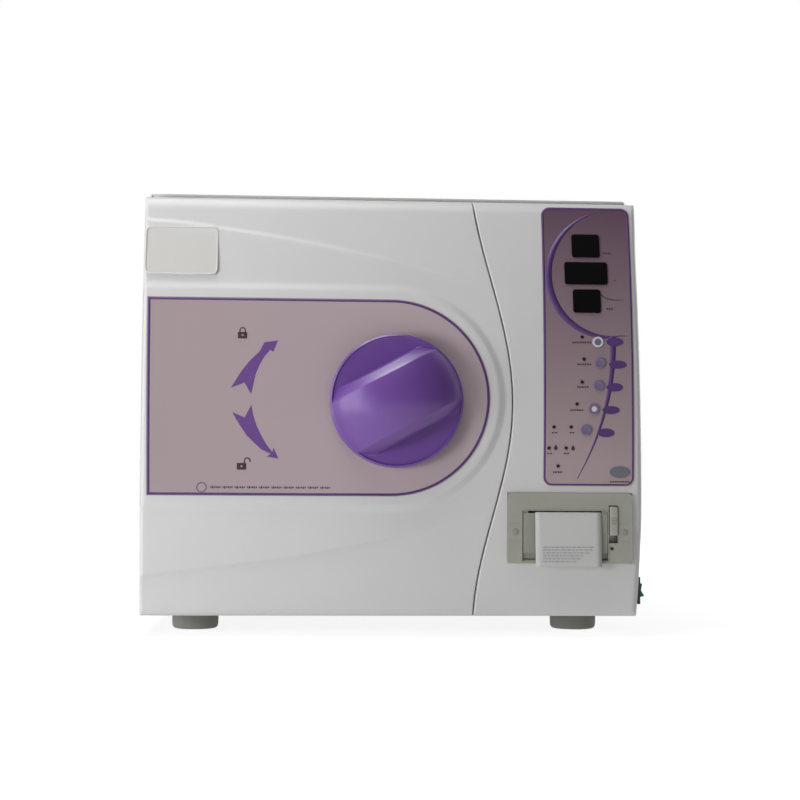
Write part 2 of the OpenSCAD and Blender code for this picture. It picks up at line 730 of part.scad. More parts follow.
if (on("key_1")) key_1();
if (on("key_2")) key_2();
if (on("key_3")) key_3();
if (on("key_4")) key_4();
if (on("key_5")) key_5();
if (on("mains_rocker")) mains_rocker();
if (on("printer_door")) printer_door();
if (on("paper_strip")) paper_strip();
if (on("printer_latch")) printer_latch();
if (on("paper_roll")) paper_roll();
if (on("tank_lid")) tank_lid();
if (on("fan_rotor")) fan_rotor();
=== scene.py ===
# Tabletop steam steriliser: round door with a grip knob, control panel and paper printer.
# The front faces -Y, +X is to the right seen from the front, Z is up and the feet stand on z = 0.
# Shapes are in millimetres, turned into metres by MM; materials, lights and camera are in metres.
import bpy
import bmesh
import math
from mathutils import Matrix, Vector


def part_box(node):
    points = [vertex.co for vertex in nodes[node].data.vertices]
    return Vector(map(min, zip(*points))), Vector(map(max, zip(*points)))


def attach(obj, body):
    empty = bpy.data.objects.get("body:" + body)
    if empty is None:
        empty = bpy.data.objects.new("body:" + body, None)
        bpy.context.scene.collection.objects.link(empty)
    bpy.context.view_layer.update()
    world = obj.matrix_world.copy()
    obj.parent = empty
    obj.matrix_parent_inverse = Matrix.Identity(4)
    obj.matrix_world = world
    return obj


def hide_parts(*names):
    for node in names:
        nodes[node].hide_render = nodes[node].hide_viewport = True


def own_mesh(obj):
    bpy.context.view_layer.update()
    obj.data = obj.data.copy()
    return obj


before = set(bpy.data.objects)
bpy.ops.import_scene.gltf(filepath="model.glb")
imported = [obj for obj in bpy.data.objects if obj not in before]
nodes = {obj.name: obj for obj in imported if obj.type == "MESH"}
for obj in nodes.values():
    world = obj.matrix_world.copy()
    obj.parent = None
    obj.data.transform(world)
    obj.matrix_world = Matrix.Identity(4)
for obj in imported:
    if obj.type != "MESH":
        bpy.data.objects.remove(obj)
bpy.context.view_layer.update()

scene = bpy.context.scene
MM = 0.001
MATERIALS = {}


# ------------------------------------------------------------------ materials
def linear(rgb):
    """Linear colour from 0-255 sRGB."""
    parts = (v / 255 for v in rgb)
    return tuple(c / 12.92 if c <= 0.04045 else ((c + 0.055) / 1.055) ** 2.4 for c in parts)


def node(tree, kind, inputs=None, **settings):
    made = tree.nodes.new("ShaderNode" + kind)
    for key, value in settings.items():
        setattr(made, key, value)
    for key, value in (inputs or {}).items():
        made.inputs[key].default_value = value
    return made


def material(name, rgb, rough, metal=0.0, bump=0.12, bump_scale=900, var=0.05, rough_var=0.1,
             coat=0.0, stretch=(1, 1, 1), edge_wear_and_highlight=0.08, ramp=None, spec=0.5):
    """Blotchy, finely bumped surface with pale edges: partly wear, partly a painted highlight on
    convex edges.

    var is the spread of the colour, rough_var that of the roughness, stretch scales the grain.
    ramp = (axis, start, end, rgb at the end) shades the colour along one axis, in metres.
    """
    mat = bpy.data.materials.new(name)
    mat.use_nodes = True
    MATERIALS[name] = mat
    tree = mat.node_tree
    link = tree.links.new
    shader = tree.nodes["Principled BSDF"]
    coords = node(tree, "TexCoord")
    mapping = node(tree, "Mapping", {"Scale": stretch})
    link(coords.outputs["Object"], mapping.inputs["Vector"])

    def noise(scale, detail):
        texture = node(tree, "TexNoise", {"Scale": scale, "Detail": detail})
        link(mapping.outputs["Vector"], texture.inputs["Vector"])
        return texture.outputs["Fac"]

    def blend_to(rgba, factor, base):
        mix = node(tree, "Mix", data_type="RGBA")
        mix.inputs["B"].default_value = rgba
        link(factor, mix.inputs["Factor"])
        link(base, mix.inputs["A"])
        return mix.outputs["Result"]

    blotches = noise(scale=11, detail=4)
    tones = node(tree, "ValToRGB")
    for tone, place, gain in zip(tones.color_ramp.elements, (0.3, 0.7), (1 - var, 1 + var)):
        tone.position = place
        tone.color = (*[min(1, max(0, c * gain)) for c in linear(rgb)], 1)
    link(blotches, tones.inputs["Fac"])
    colour = tones.outputs["Color"]
    if ramp:
        axis, start, end, end_rgb = ramp
        split = node(tree, "SeparateXYZ")
        link(coords.outputs["Object"], split.inputs[0])
        along = node(tree, "MapRange", {"From Min": start, "From Max": end})
        link(split.outputs[axis], along.inputs["Value"])
        colour = blend_to((*linear(end_rgb), 1), along.outputs["Result"], colour)
    # Painted highlight and wear: convex edges, found by pointiness and broken up by noise, are
    # blended towards pale grey.
    if edge_wear_and_highlight:
        geometry = node(tree, "NewGeometry")
        edges = node(tree, "MapRange", {"From Min": 0.53, "From Max": 0.62, "To Max": edge_wear_and_highlight})
        link(geometry.outputs["Pointiness"], edges.inputs["Value"])
        edge_breakup = noise(scale=120, detail=5)
        product = node(tree, "Math", operation="MULTIPLY")
        link(edges.outputs["Result"], product.inputs[0])
        link(edge_breakup, product.inputs[1])
        colour = blend_to((0.9, 0.9, 0.9, 1), product.outputs[0], colour)
    link(colour, shader.inputs["Base Color"])
    smudges = noise(scale=70, detail=6)
    rough_range = node(tree, "MapRange", {"To Min": max(0.03, rough - rough_var / 2),
                                          "To Max": min(1, rough + rough_var / 2)})
    link(smudges, rough_range.inputs["Value"])
    link(rough_range.outputs["Result"], shader.inputs["Roughness"])
    grain = noise(scale=bump_scale, detail=3)
    relief = node(tree, "Bump", {"Strength": bump, "Distance": 0.0002})
    link(grain, relief.inputs["Height"])
    link(relief.outputs["Normal"], shader.inputs["Normal"])
    for key, value in {"Metallic": metal, "Coat Weight": coat, "Coat Roughness": 0.22,
                       "Specular IOR Level": spec}.items():
        shader.inputs[key].default_value = value


material("front_plastic", rgb=(208, 207, 207), rough=0.42, bump=0.10, bump_scale=1500, var=0.012,
         rough_var=0.08, edge_wear_and_highlight=0.05)
material("cover_paint", rgb=(214, 214, 212), rough=0.45, bump=0.35, bump_scale=1100, var=0.02,
         rough_var=0.12, edge_wear_and_highlight=0.15)
material("bare_steel", rgb=(178, 178, 180), rough=0.30, metal=1.0, bump=0.25, bump_scale=260,
         var=0.06, rough_var=0.2, stretch=(1, 14, 1), edge_wear_and_highlight=0.2)
material("turned_steel", rgb=(190, 190, 192), rough=0.28, metal=1.0, bump=0.02, bump_scale=700,
         var=0.015, rough_var=0.05, edge_wear_and_highlight=0)
material("dark_plastic", rgb=(30, 30, 31), rough=0.5, bump=0.3, bump_scale=1500, var=0.15,
         rough_var=0.2, edge_wear_and_highlight=0.12)
material("foot_rubber", rgb=(126, 125, 119), rough=0.75, bump=0.5, bump_scale=700, var=0.10,
         rough_var=0.15, edge_wear_and_highlight=0.2)
material("window_black", rgb=(9, 9, 9), rough=0.25, bump=0.02, bump_scale=300, var=0.2,
         rough_var=0.06, spec=0.25, edge_wear_and_highlight=0)
material("lamp_plastic", rgb=(40, 24, 30), rough=0.25, bump=0.05, var=0.2, coat=0.4, edge_wear_and_highlight=0)
material("printer_beige", rgb=(156, 155, 144), rough=0.5, bump=0.35, bump_scale=1300, var=0.03,
         rough_var=0.12, edge_wear_and_highlight=0.15)
material("printer_beige_inner", rgb=(144, 143, 132), rough=0.5, bump=0.35, bump_scale=1300,
         var=0.04, rough_var=0.12, edge_wear_and_highlight=0.1)
material("paper_white", rgb=(194, 194, 193), rough=0.85, bump=0.2, bump_scale=1800, var=0.02,
         rough_var=0.05, edge_wear_and_highlight=0)
material("paper_ink", rgb=(150, 150, 152), rough=0.8, bump=0.1, var=0.3, edge_wear_and_highlight=0)
material("knob_purple", rgb=(106, 68, 148), rough=0.40, bump=0.06, bump_scale=1200, var=0.04,
         rough_var=0.08, coat=0.8, edge_wear_and_highlight=0.03, spec=0.4)
material("key_grey", rgb=(112, 102, 132), rough=0.35, bump=0.1, coat=0.2, edge_wear_and_highlight=0.1)
material("key_light", rgb=(206, 200, 208), rough=0.35, bump=0.1, coat=0.2, edge_wear_and_highlight=0.1)
material("rocker_green", rgb=(20, 120, 70), rough=0.3, bump=0.1, var=0.08, coat=0.3, edge_wear_and_highlight=0.1)
material("silicone", rgb=(190, 88, 60), rough=0.55, bump=0.3, bump_scale=600, var=0.06, edge_wear_and_highlight=0.1)
material("insulation", rgb=(205, 198, 176), rough=0.95, bump=0.9, bump_scale=220, var=0.12,
         rough_var=0.05, edge_wear_and_highlight=0)
material("brass_fit", rgb=(196, 160, 90), rough=0.3, metal=1.0, bump=0.2, bump_scale=400,
         var=0.08, rough_var=0.2)
material("copper_tube", rgb=(196, 120, 84), rough=0.3, metal=1.0, bump=0.2, bump_scale=300,
         var=0.1, rough_var=0.2)
material("tank_plastic", rgb=(226, 228, 226), rough=0.4, bump=0.15, bump_scale=700, var=0.03,
         edge_wear_and_highlight=0.1)
material("board_green", rgb=(24, 86, 52), rough=0.35, bump=0.4, bump_scale=500, var=0.15,
         rough_var=0.15)
material("cast_grey", rgb=(112, 114, 116), rough=0.55, bump=0.7, bump_scale=320, var=0.08,
         rough_var=0.15, edge_wear_and_highlight=0.2)
material("badge_white", rgb=(206, 205, 202), rough=0.3, bump=0.05, bump_scale=600, var=0.02,
         rough_var=0.08, coat=0.3, edge_wear_and_highlight=0.05)
material("door_film", rgb=(160, 145, 149), rough=0.42, bump_scale=1600, var=0.02,
         rough_var=0.08, ramp=(0, -0.215, 0.0, (178, 162, 167)), edge_wear_and_highlight=0)
material("panel_film", rgb=(166, 149, 152), rough=0.42, bump_scale=1600, var=0.03,
         rough_var=0.08, ramp=(2, 0.150, 0.385, (94, 69, 87)), edge_wear_and_highlight=0)
material("print_purple", rgb=(84, 56, 112), rough=0.4, bump=0.08, edge_wear_and_highlight=0)
material("print_arrow", rgb=(104, 70, 134), rough=0.4, bump=0.08, var=0.08, edge_wear_and_highlight=0)
material("print_dark", rgb=(62, 46, 56), rough=0.5, bump=0.05, var=0.1, edge_wear_and_highlight=0)
material("print_oval", rgb=(104, 104, 118), rough=0.3, bump=0.1, edge_wear_and_highlight=0.05)

PIECE_MATERIAL = {
    "base_pan": "bare_steel", "back_panel": "cover_paint", "front_frame": "front_plastic",
    "display_windows": "window_black", "indicator_leds": "lamp_plastic",
    "printer_bezel": "printer_beige", "printer_mechanism": "dark_plastic",
    "rocker_housing": "dark_plastic", "rubber_feet": "foot_rubber",
    "housing_screws": "bare_steel", "chamber_vessel": "turned_steel", "heater_band": "brass_fit",
    "insulation_jacket": "insulation", "chamber_saddles": "bare_steel",
    "tray_rack": "bare_steel", "tray_lower": "bare_steel", "tray_middle": "bare_steel",
    "tray_upper": "bare_steel", "clean_water_tank": "tank_plastic",
    "waste_water_tank": "tank_plastic", "vacuum_pump": "cast_grey",
    "steam_generator": "bare_steel", "valve_block": "brass_fit", "condenser_coil": "copper_tube",
    "fan_frame": "dark_plastic", "air_filter": "tank_plastic", "control_board": "board_green",
    "transformer": "cast_grey", "mains_inlet": "dark_plastic", "safety_valve": "brass_fit",
    "drain_fittings": "bare_steel", "lock_keeper": "bare_steel",
    "hinge_fixed_leaves": "bare_steel", "hinge_pins": "bare_steel",
    "door_liner": "front_plastic", "door_plate": "turned_steel", "door_gasket": "silicone",
    "door_arm": "bare_steel", "hinge_moving_leaves": "bare_steel", "knob_shaft": "bare_steel",
    "lock_bolt": "bare_steel", "mains_rocker": "rocker_green",
    "printer_door": "printer_beige_inner", "printer_latch": "dark_plastic",
    "paper_roll": "paper_white", "tank_lid": "tank_plastic", "fan_rotor": "dark_plastic"}
BEVEL_WIDTH = {
    "front_frame": 1.5, "printer_bezel": 0.8, "printer_door": 0.5, "printer_latch": 0.6,
    "rubber_feet": 1.2, "rocker_housing": 0.6, "mains_rocker": 0.5, "door_plate": 1.0,
    "tank_lid": 0.8, "mains_inlet": 0.6, "lock_bolt": 0.5, "base_pan": 0.3}
for name, material_name in PIECE_MATERIAL.items():
    piece = nodes[name]
    if not piece.material_slots:
        piece.data.materials.append(MATERIALS[material_name])
    for slot in piece.material_slots:
        slot.link = "OBJECT"
        slot.material = MATERIALS[material_name]
    if name in BEVEL_WIDTH:
        bevel = piece.modifiers.new("soft_edges", "BEVEL")
        bevel.width = BEVEL_WIDTH[name] * MM
        bevel.segments = 3
        bevel.limit_method = "ANGLE"
        bevel.angle_limit = math.radians(38)
        bevel.use_clamp_overlap = True


# ------------------------------------------------------------------ mesh helpers
def add_object(name, mesh):
    obj = bpy.data.objects.new(name, mesh)
    scene.collection.objects.link(obj)
    return obj


def build(name, verts, faces, materials, bands=None, smooth=True):
    """Object from points in millimetres; bands gives each face's material slot."""
    mesh = bpy.data.meshes.new(name)
    mesh.from_pydata([(x * MM, y * MM, z * MM) for x, y, z in verts], [], faces)
    for key in materials:
        mesh.materials.append(MATERIALS[key])
    if bands:
        mesh.polygons.foreach_set("material_index", bands)
    mesh.polygons.foreach_set("use_smooth", [smooth] * len(mesh.polygons))
    mesh.update()
    bm = bmesh.new()
    bm.from_mesh(mesh)
    bmesh.ops.recalc_face_normals(bm, faces=bm.faces)
    bm.to_mesh(mesh)
    bm.free()
    return add_object(name, mesh)


def apply(obj, kind, **settings):
    """Bake one modifier into the mesh."""
    modifier = obj.modifiers.new("m", kind)
    for key, value in settings.items():
        setattr(modifier, key, value)
    graph = bpy.context.evaluated_depsgraph_get()
    graph.update()
    mesh = bpy.data.meshes.new_from_object(obj.evaluated_get(graph))
    obj.modifiers.remove(modifier)
    old = obj.data
    obj.data = mesh
    bpy.data.meshes.remove(old)


def thicken(obj, thickness, offset=-1):
    apply(obj, "SOLIDIFY", thickness=thickness * MM, offset=offset)


def by_angle(obj, degrees=40):
    obj.data.polygons.foreach_set("use_smooth", [True] * len(obj.data.polygons))
    obj.data.set_sharp_from_angle(angle=math.radians(degrees))


def subtract(obj, cutter):
    apply(obj, "BOOLEAN", operation="DIFFERENCE", solver="EXACT", object=cutter)
    bpy.data.objects.remove(cutter)


def cut(obj, boxes):
    """Subtract boxes given as x0, x1, y0, y1, z0, z1."""
    sides = ((0, 1, 3, 2), (4, 6, 7, 5), (0, 4, 5, 1), (2, 3, 7, 6), (0, 2, 6, 4), (1, 5, 7, 3))
    verts, faces = [], []
    for x0, x1, y0, y1, z0, z1 in boxes:
        start = len(verts)
        verts += [(x, y, z) for x in (x0, x1) for y in (y0, y1) for z in (z0, z1)]
        faces += [tuple(start + i for i in side) for side in sides]
    subtract(obj, build("cutter", verts, faces, [], smooth=False))


def put(obj, body, slot, *replaced):
    """Fix an object to a moving body, in place of the named CAD pieces."""
    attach(obj, body)
    if replaced:
        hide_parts(*replaced)


def join(name, parts):
    bm = bmesh.new()
    materials = []
    for part in parts:
        mesh = part.data
        materials += [m for m in mesh.materials if m not in materials]
        remap = [materials.index(m) for m in mesh.materials]
        for polygon in mesh.polygons:
            polygon.material_index = remap[polygon.material_index]
        bm.from_mesh(mesh)
    joined = bpy.data.meshes.new(name)
    bm.to_mesh(joined)
    bm.free()
    for m in materials:
        joined.materials.append(m)
    for part in parts:
        bpy.data.objects.remove(part)
    return add_object(name, joined)


def grid_faces(rows, cols):
    return [(j * cols + i, j * cols + i + 1, (j + 1) * cols + i + 1, (j + 1) * cols + i)
            for j in range(rows - 1) for i in range(cols - 1)]


def grid_edge(rows, cols):
    """Indices once round the outer edge of a grid."""
    return (list(range(cols)) + [j * cols + cols - 1 for j in range(1, rows)]
            + [(rows - 1) * cols + i for i in range(cols - 2, -1, -1)]
            + [j * cols for j in range(rows - 2, 0, -1)])


def add_wall(verts, faces, edge, steps, move):
    """Add rings of the edge's points moved by move(x, y, z, step); returns the last ring."""
    previous = edge
    for step in steps:
        start = len(verts)
        verts += [move(*verts[i], step) for i in edge]
        ring = list(range(start, len(verts)))
        for i in range(len(edge)):
            j = (i + 1) % len(edge)
            faces.append((previous[i], previous[j], ring[j], ring[i]))
        previous = ring
    return previous


def revolve(profile, x, z, materials, segments=48, bands=None, name="part"):
    """Closed solid turned about a line along y through x, z; profile holds (radius, y)."""
    turns = [2 * math.pi * k / segments for k in range(segments)]
    verts = [(x + r * math.cos(a), y, z + r * math.sin(a)) for r, y in profile for a in turns]
    bands = bands or [0] * (len(profile) - 1)
    faces, face_bands = [], []
    for j in range(len(profile) - 1):
        low, high = j * segments, (j + 1) * segments
        for k in range(segments):
            after = (k + 1) % segments
            faces.append((low + k, low + after, high + after, high + k))
            face_bands.append(bands[j])
    last = (len(profile) - 1) * segments
    faces += [tuple(range(segments)), tuple(reversed(range(last, last + segments)))]
    face_bands += [bands[0], bands[-1]]
    obj = build(name, verts, faces, materials, face_bands)
    by_angle(obj)
    return obj


def round_box(x0, x1, y0, y1, z0, z1, radius, key, name="part"):
    bm = bmesh.new()
    bmesh.ops.create_cube(bm, size=1)
    for v in bm.verts:
        v.co = Vector(((x0 + x1) / 2 + v.co.x * (x1 - x0), (y0 + y1) / 2 + v.co.y * (y1 - y0),
                       (z0 + z1) / 2 + v.co.z * (z1 - z0))) * MM
    bmesh.ops.bevel(bm, geom=bm.edges[:], offset=radius * MM, segments=3, profile=0.5,
                    affect="EDGES")
    mesh = bpy.data.meshes.new(name)
    bm.to_mesh(mesh)
    bm.free()
    mesh.materials.append(MATERIALS[key])
    obj = add_object(name, mesh)
    by_angle(obj)
    return obj


# ------------------------------------------------------------------ shape of the front
BOW_RADIUS, FRONT_Y, BOW_Z = 900.0, 72.0, 135.0  # the front bows out most at BOW_Z
HALF_WIDTH, BOTTOM, TOP = 221.5, 18.0, 391.6
BOTTOM_ROUND, TOP_ROUND = 7.0, 12.0
RING_X, RING_Z, RING_RADIUS = -1.3, 210.0, 101.2  # right end of the raised field on the door
SHELL_WALL = 3.0
# Crease lines across the door: x, z
UPPER_CREASE = [(-221.5, 368.7), (-185, 366), (-156, 362), (-100, 353.8), (-21.6, 338.6),
                (7, 331.6), (28, 326), (60.6, 316.5), (80, 310)]
LOWER_CREASE = [(-221.5, 51.8), (-178.4, 57), (-143, 61.1), (-95.5, 67.4), (-53, 74.9),
                (-8.5, 84), (24.7, 92), (49.2, 98), (70, 103.5)]


def clamp(value):
    return min(1, max(0, value))


def smoothstep(start, end, value):
    t = clamp((value - start) / (end - start))
    return t * t * (3 - 2 * t)


def fillet(distance, radius):
    """Set-back of a rounded edge at a distance in from that edge."""
    if distance >= radius:
        return 0
    return radius - math.sqrt(max(0, radius * radius - (radius - max(0, distance)) ** 2))


def face_y(z):
    return -FRONT_Y + BOW_RADIUS - math.sqrt(BOW_RADIUS * BOW_RADIUS - (z - BOW_Z) ** 2)


def seam_x(z):
    """Line between the door and the fascia."""
    return 72 + 17.2 * (1 + math.cos(math.pi * (z - 207) / (215 if z > 207 else 199)))


def left_x(z):
    return -HALF_WIDTH + 0.2 + 2.4 * (1 - (max(0, z - BOTTOM) / (TOP - BOTTOM)) ** 1.5)


def right_x(z):
    tuck = 3.4 * ((110 - z) / (110 - BOTTOM)) ** 1.4 if z < 110 else 0
    return HALF_WIDTH + 1.4 * smoothstep(330, 391, z) - tuck


def crease_z(points, x):
    """Smooth curve through the crease points."""
    last = len(points) - 2
    i = next((k for k in range(last) if x <= points[k + 1][0]), last)
    (x0, z0), (x1, z1) = points[i], points[i + 1]
    run = x1 - x0
    slope0 = slope1 = (z1 - z0) / run
    if i:
        slope0 = (z1 - points[i - 1][1]) / (x1 - points[i - 1][0])
    if i < last:
        slope1 = (points[i + 2][1] - z0) / (points[i + 2][0] - x0)
    t = (x - x0) / run
    return ((2 * t ** 3 - 3 * t * t + 1) * z0 + (t ** 3 - 2 * t * t + t) * run * slope0
            + (3 * t * t - 2 * t ** 3) * z1 + (t ** 3 - t * t) * run * slope1)


def crease_step(points, x, z, height, fade, loss, reach):
    """Step at a crease: fades over the x range, and loses a share within reach below it."""
    below = crease_z(points, x) - z
    return (height * (1 - smoothstep(*fade, x)) * clamp((below + 1.1) / 2.2)
            * (1 - loss * smoothstep(2, reach, below)))


def door_relief(x, z):
    """How far the door stands out from the bowed face."""
    field = math.hypot(max(0, x - RING_X), z - RING_Z) - RING_RADIUS
    plateau = clamp(-field / 6.1)
    upper = crease_step(UPPER_CREASE, x, z, height=2.5, fade=(-20, 78), loss=0.75, reach=46)
    lower = crease_step(LOWER_CREASE, x, z, height=2.0, fade=(-30, 66), loss=0.6, reach=40)
    return 3.0 * plateau + upper * (1 - plateau) - 1.05 * lower


def spaced(start, end, step, start_round, end_round):
    """Stations in three lists: fine near both rounded ends, even between."""
    fine = [0, 0.02, 0.07, 0.16, 0.29, 0.45, 0.64, 0.82, 1.0]
    low = [start + start_round * t for t in fine]
    high = [end - end_round * t for t in reversed(fine)]
    n = max(2, round((high[0] - low[-1]) / step))
    return low, [low[-1] + (high[0] - low[-1]) * i / n for i in range(1, n)], high


def shell(name, left, right, relief, step, left_round, right_round, back, left_back=None):
    """Bowed front panel with rounded edges and walls running back."""
    low, middle, high = spaced(BOTTOM, TOP, step, BOTTOM_ROUND, TOP_ROUND)
    rows = low + middle + high
    mid_z = (BOTTOM + TOP) / 2
    width = right(mid_z) - left(mid_z)
    near, between, far = spaced(0, width, step, left_round, right_round)
    count = len(between)
    verts = []
    for z in rows:
        x0, x1 = left(z), right(z)
        inner = x1 - right_round - x0 - left_round
        xs = [x0 + t for t in near]
        xs += [x0 + left_round + inner * (i + 1) / (count + 1) for i in range(count)]
        xs += [x1 - (width - t) for t in far]
        for x in xs:
            ends = max(fillet(z - BOTTOM, BOTTOM_ROUND), fillet(TOP - z, TOP_ROUND))
            sides = max(fillet(x - x0, left_round), fillet(x1 - x, right_round))
            setback = max(ends, sides)
            if ends and sides:
                setback = min(max(BOTTOM_ROUND, ends), math.hypot(ends, sides))
            y = face_y(z) - relief(x, z) * (1 - min(1, setback / 2.0)) + setback
            verts.append((x, y, z))
    cols = len(near) + count + len(far)
    faces = grid_faces(len(rows), cols)
    wall_steps = 5

    def wall(x, y, z, step):
        end = back
        if left_back is not None and x < left(z) + 0.01:
            end = max(left_back, y + 1.5)
        return x, y + (end - y) * step / wall_steps, z

    add_wall(verts, faces, grid_edge(len(rows), cols), range(1, wall_steps + 1), wall)
    obj = build(name, verts, faces, ["front_plastic"])
    thicken(obj, SHELL_WALL)
    by_angle(obj)
    return obj


SEAM_GAP = 0.5  # each side of the seam line
SEAM_ROUND = 1.3
SEAM_NOTCH = (-51.5, -40.5, 217, 235)  # y0, y1, z0, z1 of the opening across the seam

door = shell("door_shell", left_x, lambda z: seam_x(z) - SEAM_GAP, door_relief, step=1.5,
             left_round=4.0, right_round=SEAM_ROUND, back=-14.0, left_back=-25.0)
# Two notches in the left wall and one in the seam wall.
cut(door, [(-230, -203, -39, 0, z - 1, z + 64) for z in (88, 264)] + [(90, 112, *SEAM_NOTCH)])
by_angle(door)
put(door, "door", "front_plastic", "door_cover")

fascia = shell("fascia_shell", lambda z: seam_x(z) + SEAM_GAP, right_x, lambda x, z: 0, step=2.5,
               left_round=SEAM_ROUND, right_round=6.0, back=-12.2)
# The printer opening, the seam notch and a notch low in the right wall.
cut(fascia, [(101.2, 211.9, -90, -40, 64.9, 126.9), (100, 118, *SEAM_NOTCH),
             (211.5, 231.5, -50.5, -23.5, 29.5, 50.5)])
by_angle(fascia)
put(fascia, "housing", "front_plastic", "control_fascia")


# ------------------------------------------------------------------ films and printed marks
def turn_to_front(mesh):
    if sum(p.normal.y * p.area for p in mesh.polygons) > 0:
        mesh.flip_normals()


def film(name, left, right, z0, z1, lift, key, step, thickness, corner=0.0):
    """Sheet on the bowed front, lift in front of it, with rounded corners."""
    n = max(2, round((z1 - z0) / step))
    if corner:
        rows = [z0 + (z1 - z0) * (0.5 - 0.5 * math.cos(math.pi * i / n)) for i in range(n + 1)]
    else:
        rows = [z0 + (z1 - z0) * i / n for i in range(n + 1)]
    mid_z = (z0 + z1) / 2
    m = max(2, round((right(mid_z) - left(mid_z)) / step))
    verts = []
    for z in rows:
        inset = max(fillet(z - z0, corner), fillet(z1 - z, corner))
        x0, x1 = left(z) + inset, right(z) - inset
        verts += [(x0 + (x1 - x0) * i / m, face_y(z) - lift, z) for i in range(m + 1)]
    obj = build(name, verts, grid_faces(n + 1, m + 1), [key])
    turn_to_front(obj.data)
    thicken(obj, thickness)
    by_angle(obj)
    return obj


def patch(outline, lift, key, thickness=0.12):
    """Mark laid on the bowed front, from a closed outline of x, z."""
    bm = bmesh.new()
    bm.faces.new([bm.verts.new((x * MM, 0, z * MM)) for x, z in outline])
    bmesh.ops.triangulate(bm, faces=bm.faces[:])
    for v in bm.verts:
        v.co.y = (face_y(v.co.z / MM) - lift) * MM
    mesh = bpy.data.meshes.new("part")
    bm.to_mesh(mesh)
    bm.free()
    mesh.materials.append(MATERIALS[key])
    turn_to_front(mesh)
    obj = add_object("part", mesh)
    thicken(obj, thickness)
    return obj


def ribbon(rail_a, rail_b, lift, key, closed=False, thickness=0.12, name="part"):
    """Band on the bowed front between two rails of x, z."""
    n = len(rail_a)
    verts = [(x, face_y(z) - lift, z) for x, z in rail_a + rail_b]
    faces = [(i, (i + 1) % n, n + (i + 1) % n, n + i) for i in range(n if closed else n - 1)]
    obj = build(name, verts, faces, [key])
    turn_to_front(obj.data)
    thicken(obj, thickness)
    return obj


def oval(x, z, across_x, across_z, down_x, down_z, count):
    """Ellipse of points about x, z from its two half-axis vectors."""
    turns = [2 * math.pi * i / count for i in range(count)]
    return [(x + across_x * math.cos(a) + down_x * math.sin(a),
             z + across_z * math.cos(a) + down_z * math.sin(a)) for a in turns]


# ------------------------------------------------------------------ door film
FILM_RADIUS = 87.4
PRINT_LIFT = 3.62
# Curved arrows above and below the middle of the film: x, z
UPPER_ARROW = [
    (-100.705, 259.091), (-112.772, 257.192), (-109.705, 253.973), (-116.974, 248.972),
    (-125.484, 240.638), (-132.252, 231.821), (-136.875, 224.096), (-141.498, 216.651),
    (-129.516, 221.379), (-123.782, 211.164), (-122.190, 220.753), (-119.977, 229.063),
    (-116.810, 236.965), (-112.599, 244.457), (-108.199, 251.089), (-104.889, 248.754)]
LOWER_ARROW = [
    (-139.895, 195.413), (-129.095, 190.747), (-123.403, 202.051), (-121.740, 192.970),
    (-118.532, 183.489), (-114.312, 174.724), (-109.769, 167.011), (-104.736, 160.772),
    (-103.749, 164.817), (-99.374, 155.229), (-109.832, 156.876), (-106.262, 159.302),
    (-114.180, 163.026), (-120.238, 168.398), (-127.179, 175.231), (-133.300, 184.235),
    (-137.251, 190.679)]


def film_left(z):
    return -216.0 + 2.8 * (RING_Z + FILM_RADIUS - z) / (2 * FILM_RADIUS)


def film_right(z):
    return RING_X + math.sqrt(max(0, FILM_RADIUS ** 2 - (z - RING_Z) ** 2))


put(film("door_film", film_left, film_right, RING_Z - 87.3, RING_Z + 87.3, 3.5, "door_film",
         step=1.6, thickness=0.45), "door", "door_film", "door_overlay")


def door_rail(radius, inset):
    """Half circle on the right, closed by straight lines to the left edge of the film."""
    n, k = 72, 30
    low, high = RING_Z - radius, RING_Z + radius
    x_low, x_high = film_left(low) + inset, film_left(high) + inset
    turns = [math.pi * i / n for i in range(n + 1)]
    rail = [(RING_X + radius * math.sin(a), RING_Z + radius * math.cos(a)) for a in turns]
    rail += [(RING_X + (x_low - RING_X) * i / k, low) for i in range(1, k + 1)]
    rail += [(x_low + (x_high - x_low) * i / k, low + 2 * radius * i / k) for i in range(1, k)]
    return rail + [(x_high + (RING_X - x_high) * i / k, high) for i in range(k)]


put(ribbon(door_rail(86.7, 0.8), door_rail(84.6, 2.9), PRINT_LIFT, "print_purple", closed=True,
           name="door_border"), "door", "door_film")


def padlock(x, z, shut):
    """Padlock sign, shut or open, about 10 mm high."""
    round_r = 0.8
    body = []
    for side, dz, start in ((1, 1.0, 0), (-1, 1.0, 90), (-1, -4.8, 180), (1, -4.8, 270)):
        corner_x = x + side * 3.3
        corner_z = z + dz + (-round_r if dz > 0 else round_r)
        for a in [math.radians(start + 22.5 * i) for i in range(5)]:
            body.append((corner_x + round_r * math.cos(a), corner_z + round_r * math.sin(a)))
    bow_x, bow_z, free_z = (x, z + 2.4, z + 0.9) if shut else (x + 4.9, z + 3.0, z + 1.9)

    def rail(r):
        bow = [(bow_x + r * math.cos(math.pi * i / 16), bow_z + r * math.sin(math.pi * i / 16))
               for i in range(17)]
        return [(bow_x + r, free_z)] + bow + [(bow_x - r, z + 0.9)]

    return [patch(body, PRINT_LIFT, "print_dark", 0.08),
            ribbon(rail(2.9), rail(1.9), PRINT_LIFT, "print_dark", thickness=0.08),
            patch(oval(x, z - 1.8, 0.9, 0, 0, 0.9, 16), 3.70, "door_film", 0.06)]


